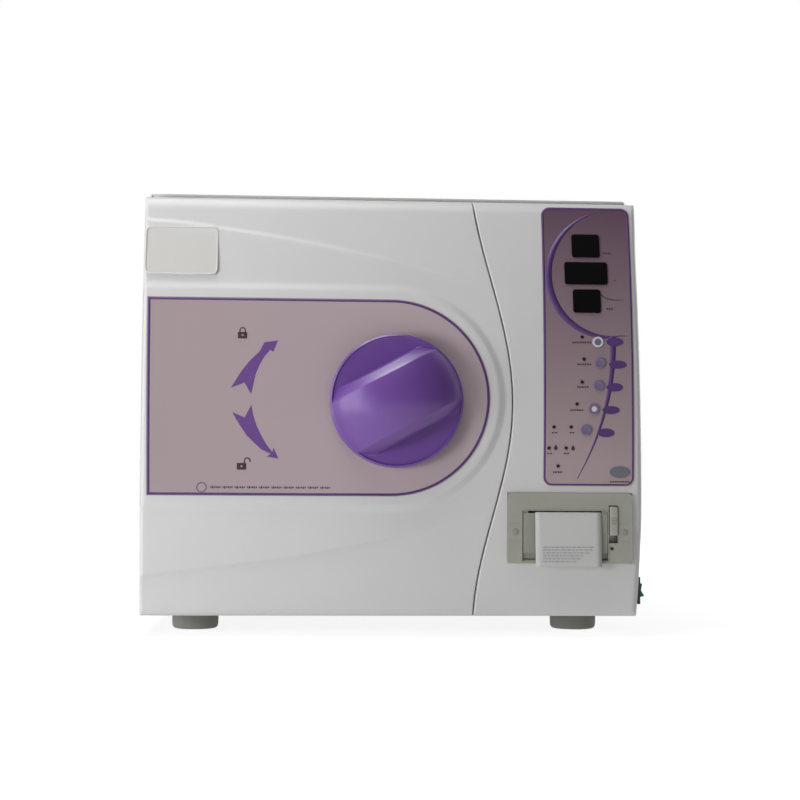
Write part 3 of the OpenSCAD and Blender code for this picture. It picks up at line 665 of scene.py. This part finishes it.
def dash_line():
    """Row of small uneven dashes low on the film, in groups of six."""
    dashes = []
    x, k = -158.0, 0
    while x < -55:
        width = (0.9, 1.3, 0.8, 1.1)[k * 5 % 4]
        height = (0.95, 1.3, 0.8)[k * 7 % 3]
        low, high = 130.3 - height, 130.3 + height * 0.6
        dashes.append(patch([(x, low), (x + width, low), (x + width, high), (x, high)],
                            3.60, "print_dark", 0.06))
        x += width + (1.9 if k % 6 == 5 else 0.5)
        k += 1
    return dashes


marks = [patch(outline, PRINT_LIFT, "print_arrow") for outline in (UPPER_ARROW, LOWER_ARROW)]
marks += padlock(-132.0, 265.2, True) + padlock(-131.3, 150.2, False)
rings = [oval(-165.7, 129.9, r, 0, 0, r, 40) for r in (4.4, 3.7)]
marks.append(ribbon(*rings, PRINT_LIFT, "print_purple", closed=True, thickness=0.08))
marks += dash_line()
put(join("door_marks", marks), "door", "door_film")

# ------------------------------------------------------------------ blank badge, raised rim
BADGE_LEFT, BADGE_RIGHT, BADGE_LOW, BADGE_HIGH = -219.2, -154.9, 318.0, 362.2
BADGE_CORNER = 4.5


def badge_rail(inset):
    half_x = (BADGE_RIGHT - BADGE_LEFT) / 2 - inset
    half_z = (BADGE_HIGH - BADGE_LOW) / 2 - inset
    rail = []
    for a in [2 * math.pi * k / 80 for k in range(80)]:
        t = 1 / max(abs(math.cos(a)) / half_x, abs(math.sin(a)) / half_z)
        x, z = math.cos(a) * t, math.sin(a) * t
        over_x = max(0, abs(x) - half_x + BADGE_CORNER)
        over_z = max(0, abs(z) - half_z + BADGE_CORNER)
        if over_x > 0 and over_z > 0:
            scale = BADGE_CORNER / math.hypot(over_x, over_z)
            x = math.copysign(half_x - BADGE_CORNER + over_x * scale, x)
            z = math.copysign(half_z - BADGE_CORNER + over_z * scale, z)
        rail.append(((BADGE_LEFT + BADGE_RIGHT) / 2 + x, (BADGE_LOW + BADGE_HIGH) / 2 + z))
    return rail


plaque = film("part", lambda z: BADGE_LEFT, lambda z: BADGE_RIGHT, BADGE_LOW, BADGE_HIGH, 2.35,
              "badge_white", step=1.2, thickness=1.2, corner=BADGE_CORNER)
rim = ribbon(badge_rail(0.0), badge_rail(1.2), 2.75, "badge_white", closed=True, thickness=0.5)
put(join("badge_plaque", [plaque, rim]), "door", "badge_white", "badge_plate")

# ------------------------------------------------------------------ control panel
PANEL_LOW, PANEL_HIGH = 132.9, 385.9
LINE_LIFT = 0.95
DASH_LIFT = 0.93
# Rails of x, z: a short band right of the middle, and a thin line above it
SHORT_BAND = ([(198.317, 267.030), (204.992, 267.281), (210.312, 266.840)],
              [(198.276, 265.681), (204.965, 266.437), (210.301, 266.503)])
THIN_LINE = ([(187.076, 305.255), (191.966, 301.565), (199.441, 299.961), (207.146, 300.067)],
             [(187.045, 304.400), (191.935, 300.711), (199.416, 299.278), (207.133, 299.726)])
# Control points (x, z) of the two cubic rails of the long tapering band
TAPER = ([(193.618, 265.961), (195.497, 222.157), (185.011, 179.915), (162.794, 139.374)],
         [(199.286, 266.031), (199.409, 222.193), (187.197, 179.929), (163.285, 139.377)])
# Ovals beside the keys: centre x, z, then the half-axis vectors across and down
LEAVES = [(198.477, 261.304, 7.664, 0.092, -0.115, -3.873),
          (200.570, 240.870, 7.974, 0.088, -0.095, -3.677),
          (197.437, 220.533, 7.455, 0.075, -0.081, -3.814),
          (193.746, 200.187, 7.763, 0.071, -0.059, -3.619),
          (189.013, 179.998, 7.576, 0.062, -0.044, -3.916)]
LOW_OVAL = (201.047, 145.401, 9.176, 0.059, -0.027, -5.153)
# Rows of dashes: count, left end x, z, right end x, z, half-height vector x, z
DASH_ROWS = [
    (8, 160.148, 260.507, 177.808, 260.719, -0.017, -0.672),
    (6, 164.027, 240.799, 177.319, 240.946, -0.015, -0.668),
    (5, 163.648, 220.522, 174.416, 220.631, -0.011, -0.662),
    (6, 157.407, 199.855, 169.300, 199.964, -0.008, -0.657),
    (2, 140.759, 179.766, 146.029, 179.809, -0.003, -0.570),
    (2, 156.570, 179.895, 161.181, 179.933, -0.004, -0.570),
    (2, 136.448, 161.407, 141.375, 161.443, 0.0, -0.566),
    (2, 151.231, 161.515, 156.487, 161.553, -0.001, -0.566),
    (4, 141.404, 145.014, 150.252, 145.071, 0.002, -0.642),
    (3, 190.781, 342.818, 197.857, 342.928, -0.035, -0.780),
    (3, 191.601, 291.335, 198.126, 291.423, -0.027, -0.766),
    (1, 199.627, 317.599, 201.306, 317.623, -0.028, -0.687),
    (8, 192.175, 136.828, 209.849, 136.935, -0.002, -0.642)]
# Drop signs: centre x, z, then the vectors across and down
DROPS = [(144.173, 165.993, 1.644, 0.012, -0.003, -1.619),
         (159.457, 165.622, 1.644, 0.012, -0.006, -1.620)]


def panel_left(z):
    return 135.9 - 3.2 * (PANEL_HIGH - z) / (PANEL_HIGH - PANEL_LOW)


def panel_right(z):
    return 216.0 - 2.4 * (PANEL_HIGH - z) / (PANEL_HIGH - PANEL_LOW)


put(film("panel_film", panel_left, panel_right, PANEL_LOW, PANEL_HIGH, 0.8, "panel_film",
         step=1.6, thickness=0.6, corner=7.6), "housing", "panel_film", "control_overlay")


def panel_outline(inset, radius):
    """Rounded outline of the panel, with its straight sides divided about every 5 mm."""
    low, high = PANEL_LOW + inset, PANEL_HIGH - inset
    corners = []
    for side, edge, start in ((1, high, 0), (-1, high, 90), (-1, low, 180), (1, low, 270)):
        centre_z = edge - radius if start < 180 else edge + radius
        for a in [math.radians(start + 90 * i / 10) for i in range(11)]:
            z = centre_z + radius * math.sin(a)
            if side > 0:
                centre_x = panel_right(z) - inset - radius
            else:
                centre_x = panel_left(z) + inset + radius
            corners.append((centre_x + radius * math.cos(a), z))
    outline = []
    for (x0, z0), (x1, z1) in zip(corners, corners[1:] + corners[:1]):
        k = max(1, round(math.hypot(x1 - x0, z1 - z0) / 5))
        outline += [(x0 + (x1 - x0) * j / k, z0 + (z1 - z0) * j / k) for j in range(k)]
    return outline


def offset_inward(outline, distance):
    centre_x, centre_z = 175, (PANEL_LOW + PANEL_HIGH) / 2
    moved = []
    for i, (x, z) in enumerate(outline):
        x0, z0 = outline[i - 1]
        x1, z1 = outline[(i + 1) % len(outline)]
        span = math.hypot(x1 - x0, z1 - z0)
        nx, nz = -(z1 - z0) / span, (x1 - x0) / span
        if (centre_x - x) * nx + (centre_z - z) * nz < 0:
            nx, nz = -nx, -nz
        moved.append((x + nx * distance, z + nz * distance))
    return moved


def crescent_point(angle, reach):
    """Point on a slightly skewed circle of about 60 mm radius, scaled by reach."""
    side, rise = reach * math.sin(angle), reach * math.cos(angle)
    x = 195.317 - 58.139 * side + 2.4518 * rise - 0.46834 * side * rise + 0.36379 * rise ** 2
    z = 323.036 - 0.86015 * side + 59.562 * rise - 0.15973 * side * rise + 0.62868 * rise ** 2
    return x, z


def crescent():
    """Band round the left of that circle, thickest half way."""
    outer, inner = [], []
    for i in range(61):
        t = i / 60
        angle = math.radians(11 + 176 * t)
        outer.append(crescent_point(angle, 1))
        reach = 0.99422 - 0.098266 * math.sin(math.pi * t) - 0.028902 * t ** 3
        inner.append(crescent_point(angle, reach))
    return ribbon(outer, inner, LINE_LIFT, "print_purple")


def smooth_rail(points):
    """Catmull-Rom curve through the points, six steps to a span."""
    rail = []
    for i in range(len(points) - 1):
        spans = list(zip(points[max(0, i - 1)], points[i], points[i + 1],
                         points[min(len(points) - 1, i + 2)]))
        for t in [j / 6 for j in range(6)]:
            rail.append(tuple(
                0.5 * (2 * b + (c - a) * t + (2 * a - 5 * b + 4 * c - d) * t * t
                       + (3 * b - a - 3 * c + d) * t ** 3) for a, b, c, d in spans))
    return rail + [points[-1]]


def cubic_rail(controls):
    """Cubic Bezier curve in 50 steps."""
    return [tuple((1 - t) ** 3 * a + 3 * t * (1 - t) ** 2 * b + 3 * t * t * (1 - t) * c
                  + t ** 3 * d for a, b, c, d in zip(*controls))
            for t in [i / 50 for i in range(51)]]


def dash_row(count, x0, z0, x1, z1, half_x, half_z):
    dashes = []
    for i in range(count):
        (ax, az), (bx, bz) = [(x0 + (x1 - x0) * t, z0 + (z1 - z0) * t)
                              for t in (i / count, (i + 0.72) / count)]
        dashes.append(patch([(ax - half_x, az - half_z), (bx - half_x, bz - half_z),
                             (bx + half_x, bz + half_z), (ax + half_x, az + half_z)],
                            DASH_LIFT, "print_dark", 0.08))
    return dashes


def drop(x, z, across_x, across_z, down_x, down_z):
    """Round below, drawn up and narrowed above."""
    outline = []
    for a in [math.pi * 2 * i / 24 for i in range(24)]:
        u = math.cos(a) * (1 if math.sin(a) > -0.3 else 0.75)
        v = math.sin(a) * (1 if math.sin(a) > 0 else 1.9)
        outline.append((x + across_x * u + down_x * v, z + across_z * u + down_z * v))
    return patch(outline, LINE_LIFT, "print_dark", 0.08)


border = panel_outline(inset=0.5, radius=7.2)
marks = [ribbon(border, offset_inward(border, 1.5), DASH_LIFT, "print_purple", closed=True)]
marks.append(crescent())
marks.append(ribbon(*map(smooth_rail, SHORT_BAND), LINE_LIFT, "print_purple"))
marks.append(ribbon(*map(smooth_rail, THIN_LINE), LINE_LIFT, "print_dark"))
marks.append(ribbon(*map(cubic_rail, TAPER), LINE_LIFT, "print_purple"))
marks += [patch(oval(*leaf, 36), 1.0, "print_purple") for leaf in LEAVES]
for row in DASH_ROWS:
    marks += dash_row(*row)
marks += [drop(*row) for row in DROPS]
marks.append(patch(oval(*LOW_OVAL, 40), 1.3, "print_oval", 0.45))
put(join("panel_marks", marks), "housing", "panel_film")

KEYS = [(183.2, 261.1), (184.6, 242.2), (183.2, 221.6), (178.4, 201.0), (171.1, 182.3)]  # x, z
# Radius, and y from the bowed face
KEY_PROFILE = [(4.8, 4), (4.8, -1.8), (4.65, -2.15), (4.2, -2.35), (3.6, -2.3), (3.1, -2.05),
               (2.4, -2.0), (1.2, -1.98), (0.3, -1.97)]
# Material slot of each band: the first key has a light rim, the fourth a light middle.
KEY_BANDS = {0: [1] * 5 + [0] * 3, 3: [0] * 6 + [1] * 2}
for i, (x, z) in enumerate(KEYS):
    profile = [(r, face_y(z) + dy) for r, dy in KEY_PROFILE]
    keys = ["key_grey", "key_light"] if i in KEY_BANDS else ["key_grey"]
    cap = revolve(profile, x, z, keys, bands=KEY_BANDS.get(i), name=f"key_cap_{i + 1}")
    put(cap, f"key_{i + 1}_body", "key_grey", f"key_{i + 1}")

# ------------------------------------------------------------------ knob
KNOB_X, KNOB_Z, KNOB_RADIUS = 3.0, 206.0, 58.0
KNOB_TILT = math.radians(28)
DOME_RADIUS, DOME_HEIGHT = 57.3, 34.0
DOME_SPHERE = (DOME_RADIUS ** 2 + DOME_HEIGHT ** 2) / (2 * DOME_HEIGHT)


def smooth_min(a, b, blend):
    h = clamp(0.5 + 0.5 * (b - a) / blend)
    return b * (1 - h) + a * h - blend * h * (1 - h)


def knob_height(along, across):
    """Domed bar between two side pockets, with a thin raised rim."""
    r = math.hypot(along, across)
    dome = math.sqrt(DOME_SPHERE ** 2 - r * r) - (DOME_SPHERE - DOME_HEIGHT)
    chamfer = dome - 1.05 * max(0, abs(across) - 23.8) - 0.3
    side = (33.0 - abs(across)) * 12.0
    bar = smooth_min(smooth_min(dome, chamfer, 0.8), side, 1.6)
    floored = -smooth_min(-bar, 0.0, 1.2)
    return max(floored, 1.3 * math.exp(-((r - 56.6) / 0.9) ** 2))


def knob():
    half = [0.0]  # lines across one half, fine at the bar's side and at the rim
    while half[-1] < 57.9:
        b = half[-1]
        step = 0.45 if 20 < b < 35 else (0.5 if b > 54 else 1.3)
        half.append(min(57.95, b + step))
    lines = [-b for b in reversed(half[1:])] + half
    n = 110
    cos, sin = math.cos(KNOB_TILT), math.sin(KNOB_TILT)
    verts = []
    for b in lines:
        reach = math.sqrt(KNOB_RADIUS ** 2 - b * b)
        for i in range(n + 1):
            a = reach * math.sin(math.pi / 2 * (2 * i / n - 1))
            verts.append((KNOB_X + a * cos - b * sin, -84.0 - knob_height(a, b),
                          KNOB_Z + a * sin + b * cos))
    faces = grid_faces(len(lines), n + 1)
    # Rings behind the rim: growth of the radius, y
    rings = [(0.18, -83.6), (0.3, -83.0), (0.3, -79.0), (0.0, -77.4), (-0.9, -76.6),
             (-8.0, -76.5)]

    def wall(x, y, z, ring):
        growth, ring_y = ring
        scale = (KNOB_RADIUS + growth) / math.hypot(x - KNOB_X, z - KNOB_Z)
        return KNOB_X + (x - KNOB_X) * scale, ring_y, KNOB_Z + (z - KNOB_Z) * scale

    faces.append(tuple(add_wall(verts, faces, grid_edge(len(lines), n + 1), rings, wall)))
    obj = build("grip_knob", verts, faces, ["knob_purple"])
    by_angle(obj, 50)
    return obj


put(knob(), "knob_assembly", "knob_purple", "knob")

# ------------------------------------------------------------------ printer
PAPER_TOP, PAPER_LENGTH = 109.9, 47.5


def paper_y(z, u):
    """Curl of the paper; u runs 0 to 1 across it."""
    t = (PAPER_TOP - z) / PAPER_LENGTH
    hang = -75.3 - 1.3 * smoothstep(0, 0.3, t) - 2.8 * max(0, t) ** 2.2
    return hang + 0.25 * math.sin(t * 7) - 0.35 * math.sin(math.pi * u) * t


def paper_sheet():
    rows, cols = 40, 12
    verts = []
    for t in [j / rows for j in range(rows + 1)]:
        z = PAPER_TOP - PAPER_LENGTH * t
        for u in [i / cols for i in range(cols + 1)]:
            verts.append((125.5 + 58.3 * u, paper_y(z, u), z - 0.3 * u * t))
    sheet = build("part", verts, grid_faces(rows + 1, cols + 1), ["paper_white"])
    thicken(sheet, 0.14, offset=1)
    return sheet


def paper_print():
    """Six rows of uneven dashes."""
    verts, faces = [], []
    for row in range(6):
        low = 79.0 - 2.5 * row
        high = low + 0.9
        y_low, y_high = paper_y(low, 0.5) - 0.22, paper_y(high, 0.5) - 0.22
        x = 132.0
        while x < 177 - (row * 37 % 17):
            width = 1.6 + (row * 13 + int(x) * 7) % 5 * 0.55
            start = len(verts)
            verts += [(x, y_low, low), (x + width, y_low, low),
                      (x + width, y_high, high), (x, y_high, high)]
            faces.append(tuple(range(start, start + 4)))
            x += width + 0.8
    ink = build("part", verts, faces, ["paper_ink"], smooth=False)
    thicken(ink, 0.05, offset=0)
    return ink


paper = join("paper_tongue_printed", [paper_sheet(), paper_print()])
put(paper, "printer_flap", "paper_white", "paper_strip")
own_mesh(paper)

BEIGE, INNER = "printer_beige", "printer_beige_inner"
latch = [round_box(191.5, 198.5, -76.6, -70.2, 89.6, 114.9, 0.6, BEIGE),
         round_box(191.6, 198.4, -69.8, -66.1, 92.1, 103.9, 0.3, BEIGE)]
latch += [round_box(192.4, 197.6, -77.1, -76.5, z, z + 0.9, 0.25, INNER)
          for z in (99.5, 102, 104.5)]
put(join("latch_slider", latch), "latch", BEIGE, "printer_latch")

# Boxes: x0, x1, y0, y1, z0, z1, edge radius, material
DOOR_FRAME = [(113.6, 190.4, -75.7, -74.8, 111.1, 112.1, 0.35, INNER),
              (113.4, 114.4, -75.7, -74.8, 67, 112, 0.35, INNER),
              (113.4, 190.4, -75.7, -74.8, 66.2, 67.2, 0.35, INNER),
              (189.9, 190.7, -75.7, -74.8, 66.2, 112, 0.3, INNER)]
EDGE_FILLS = [(114.6, 189.9, -74.4, -73.6, 67.05, 68.2, 0.2, INNER),
              (114.6, 119.4, -74.7, -73.7, 109.3, 110.9, 0.2, INNER),
              (184.4, 189.9, -74.7, -73.7, 109.3, 110.9, 0.2, INNER),
              # Backing plate behind the latch slot: its pale colour is painted light, brighter
              # than beige to offset the shade in the slot.
              (190.9, 199.1, -66.05, -65.85, 83.1, 115.9, 0.05, "badge_white")]
bezel = [round_box(*row) for row in DOOR_FRAME]
for x in (108.0, 204.6):  # two thin ribs and a round boss at each side
    bezel += [round_box(x - 4.6, x + 4.6, -75.25, -74.9, z - 0.2, z + 0.2, 0.12, INNER)
              for z in (84.5, 100)]
    bezel.append(revolve([(3.2, -74.8), (3.2, -75.2), (2.9, -75.4), (0.2, -75.4)], x, 92.6,
                         [INNER]))
bezel.append(revolve([(1.5, -74.8), (1.5, -75.3), (1.2, -75.6), (0.1, -75.7)], 193.4, 78.1,
                     ["dark_plastic"]))
bezel += [round_box(x, x + 6, -71.0, -69.5, z, z + 6, 0.2, BEIGE)
          for x in (101.3, 205.8) for z in (65.0, 120.8)]
bezel += [round_box(*row) for row in EDGE_FILLS]
put(join("bezel_details", bezel), "housing", BEIGE)

# ------------------------------------------------------------------ feet, rounded at the floor
FOOT_PROFILE = [(17.6, 0.0), (19.0, 0.35), (20.2, 1.3), (20.9, 2.8), (21.2, 5.0), (21.4, 16.0),
                (21.4, 17.9)]  # radius, height
UPRIGHT = Matrix.Rotation(math.pi / 2, 4, "X")  # turns the y axis up to z
feet = []
for x, y in [(x, y) for x in (-176, 176) for y in (28, 470)]:
    foot = revolve(FOOT_PROFILE, 0, 0, ["foot_rubber"], segments=64)
    foot.data.transform(Matrix.Translation((x * MM, y * MM, 0)) @ UPRIGHT)
    feet.append(foot)
feet = join("feet_rubber", feet)
by_angle(feet)
put(feet, "housing", "foot_rubber", "rubber_feet")

# ------------------------------------------------------------------ outer cover
low_corner, high_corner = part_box("outer_cover")
SIDE_X, COVER_TOP, COVER_LOW = high_corner[0] / MM, high_corner[2] / MM, low_corner[2] / MM
COVER_FRONT, COVER_BACK = low_corner[1] / MM, high_corner[1] / MM
COVER_ROUND = 3.0
# Side, y and z of the near lower corner of each louvre
LOUVRES = [(side, 330 + 90 * column, 120 + 18 * row)
           for side in (-1, 1) for column in (0, 1) for row in range(10)]
LOUVRE_LENGTH = 70


def cover_sheet():
    """Bent sheet over both sides and the top, with louvre slots and a round hole on top."""
    knee, shoulder = COVER_LOW + 60, COVER_TOP - COVER_ROUND
    inner_x = SIDE_X - COVER_ROUND
    side = [(-SIDE_X, COVER_LOW), (-SIDE_X, knee)]
    side += [(-SIDE_X, knee + (shoulder - knee) * i / 6) for i in range(1, 7)]
    side += [(-inner_x - COVER_ROUND * math.cos(a), shoulder + COVER_ROUND * math.sin(a))
             for a in [math.pi / 2 * i / 10 for i in range(1, 11)]]
    top = [(-inner_x + 2 * inner_x * i / 8, COVER_TOP) for i in range(1, 8)]
    profile = side + top + [(-x, z) for x, z in reversed(side)]
    depth = COVER_BACK - COVER_FRONT - 1.2
    ys = [COVER_FRONT] + [COVER_FRONT + 0.6 + depth * i / 8 for i in range(8)]
    ys += [COVER_BACK - 0.6, COVER_BACK]
    sheet = build("cover_sheet", [(x, y, z) for y in ys for x, z in profile],
                  grid_faces(len(ys), len(profile)), ["cover_paint"])
    if max(sheet.data.polygons, key=lambda p: p.center.z).normal.z < 0:
        sheet.data.flip_normals()
    thicken(sheet, 1.5)
    cut(sheet, [(s * HALF_WIDTH - 5, s * HALF_WIDTH + 5, y, y + LOUVRE_LENGTH, z, z + 5)
                for s, y, z in LOUVRES])
    hole = revolve([(36.5, -10), (36.5, 10)], 0, 0, ["cover_paint"], segments=64)
    hole.data.transform(Matrix.Translation((0.150, 0.430, COVER_TOP * MM)) @ UPRIGHT)
    subtract(sheet, hole)
    lip = round_box(-SIDE_X + 2.4, SIDE_X - 2.4, COVER_FRONT + 1.2, COVER_FRONT + 2.7,
                    COVER_TOP - 12, COVER_TOP - 1.4, 0.2, "cover_paint")
    sheet = join("cover_sheet", [sheet, lip])
    by_angle(sheet, 35)
    return sheet


def louvre_hood(side, y0, z0):
    """Pressed hood, open below and faded out at both ends."""
    rows, cols = 12, 6
    verts = []
    for t in [j / rows for j in range(rows + 1)]:
        y = y0 - 2 + (LOUVRE_LENGTH + 4) * t
        swell = 3.2 * math.sin(math.pi * min(1, min(t, 1 - t) * 8) / 2)
        for q in [m / cols for m in range(cols + 1)]:
            x = side * (SIDE_X + 0.05 + swell * math.sin(math.pi / 2 * (1 - q)))
            verts.append((x, y, z0 - 0.5 + 9 * q))
    hood = build("part", verts, grid_faces(rows + 1, cols + 1), ["cover_paint"])
    thicken(hood, 0.9, offset=0)
    return hood


put(cover_sheet(), "housing", "cover_paint", "outer_cover")
hoods = join("cover_louvres", [louvre_hood(*louvre) for louvre in LOUVRES])
by_angle(hoods)
put(hoods, "housing", "cover_paint")
# Blank plate on the back.
put(round_box(95, 165, 528.6, 529.5, 90, 130, 0.3, "badge_white", name="rating_plate_blank"),
    "housing", "badge_white")


# ------------------------------------------------------------------ floor, world, lights, camera
def floor_material():
    """Near-white to the camera, paler away from the middle; a plain bright bounce otherwise."""
    mat = bpy.data.materials.new("floor_white")
    mat.use_nodes = True
    tree = mat.node_tree
    tree.nodes.clear()
    link = tree.links.new
    output = node(tree, "OutputMaterial")
    seen = node(tree, "AddShader")
    switch = node(tree, "MixShader")
    bounce = node(tree, "MixShader", {0: 0.6})
    path = node(tree, "LightPath")
    seen_diffuse = node(tree, "BsdfDiffuse", {"Color": (0.26, 0.26, 0.26, 1)})
    seen_glow = node(tree, "Emission", {"Color": (1, 1, 1, 1)})
    bounce_diffuse = node(tree, "BsdfDiffuse", {"Color": (0.92, 0.92, 0.92, 1)})
    bounce_glow = node(tree, "Emission", {"Strength": 0.70})
    coords = node(tree, "TexCoord")
    distance = node(tree, "VectorMath", operation="LENGTH")
    fade = node(tree, "MapRange", {"From Min": 0.5, "From Max": 1.3, "To Min": 0.86,
                                   "To Max": 1.0})
    link(coords.outputs["Object"], distance.inputs[0])
    link(distance.outputs["Value"], fade.inputs["Value"])
    link(fade.outputs["Result"], seen_glow.inputs["Strength"])
    link(seen_diffuse.outputs[0], seen.inputs[0])
    link(seen_glow.outputs[0], seen.inputs[1])
    link(bounce_diffuse.outputs[0], bounce.inputs[1])
    link(bounce_glow.outputs[0], bounce.inputs[2])
    link(path.outputs["Is Camera Ray"], switch.inputs[0])
    link(bounce.outputs[0], switch.inputs[1])
    link(seen.outputs[0], switch.inputs[2])
    link(switch.outputs[0], output.inputs[0])
    return mat


def studio_world():
    """White to the camera; a dim light, stronger from the left, otherwise."""
    world = bpy.data.worlds.new("studio")
    scene.world = world
    world.use_nodes = True
    tree = world.node_tree
    link = tree.links.new
    ambient = tree.nodes["Background"]
    ambient.inputs[0].default_value = (1, 1, 1, 1)
    backdrop = node(tree, "Background", {0: (1, 1, 1, 1), 1: 1.0})
    path = node(tree, "LightPath")
    switch = node(tree, "MixShader")
    coords = node(tree, "TexCoord")
    split = node(tree, "SeparateXYZ")
    across = node(tree, "MapRange", {"From Min": -1, "From Max": 1, "To Min": 0.16,
                                     "To Max": 0.05})
    link(coords.outputs["Generated"], split.inputs[0])
    link(split.outputs[0], across.inputs["Value"])
    link(across.outputs["Result"], ambient.inputs[1])
    link(path.outputs["Is Camera Ray"], switch.inputs[0])
    link(ambient.outputs[0], switch.inputs[1])
    link(backdrop.outputs[0], switch.inputs[2])
    link(switch.outputs[0], tree.nodes["World Output"].inputs[0])


def area_light(name, place, target, size, energy):
    data = bpy.data.lights.new(name, "AREA")
    data.shape = "RECTANGLE"
    data.size, data.size_y = size
    data.energy = energy
    lamp = add_object(name, data)
    lamp.location = place
    lamp.visible_camera = False
    lamp.rotation_euler = (Vector(target) - Vector(place)).to_track_quat("-Z", "Y").to_euler()
    return lamp


floor = build("floor", [(-6000, -5000, 0), (6000, -5000, 0), (6000, 9000, 0), (-6000, 9000, 0)],
              [(0, 1, 2, 3)], [])
floor.data.materials.append(floor_material())
studio_world()

area_light("top", place=(-0.38, -0.14, 1.6), target=(0, -0.05, 0.2), size=(1.5, 0.9), energy=19)
key_light = area_light("key", place=(-0.86, -0.74, 0.14), target=(-0.08, -0.05, 0.14),
                       size=(0.5, 0.4), energy=7.7)
key_light.visible_glossy = False
left_light = area_light("left", place=(-1.05, -0.25, 0.40), target=(0, -0.1, 0.2),
                        size=(1.0, 0.9), energy=6.5)
left_light.visible_diffuse = False
area_light("back", place=(0.4, 2.6, 1.2), target=(0, 0.3, 0.2), size=(1.8, 1.2), energy=14)
area_light("right", place=(1.9, 1.2, 0.7), target=(0.22, 0.3, 0.2), size=(1.2, 1.0), energy=15)

camera = bpy.data.cameras.new("cam")
camera.sensor_width = 36
camera.lens = 72.063
camera.clip_end = 50
camera_object = add_object("cam", camera)
YAW, PITCH, ROLL = math.radians(-3.525), math.radians(3.023), math.radians(0.343)
camera_object.matrix_world = (
    Matrix.Translation((-0.07986, -1.472, 0.13327)) @ Matrix.Rotation(YAW, 4, "Z")
    @ Matrix.Rotation(math.pi / 2 + PITCH, 4, "X") @ Matrix.Rotation(ROLL, 4, "Z"))
scene.camera = camera_object
scene.view_settings.view_transform = "Standard"
scene.view_settings.look = "None"
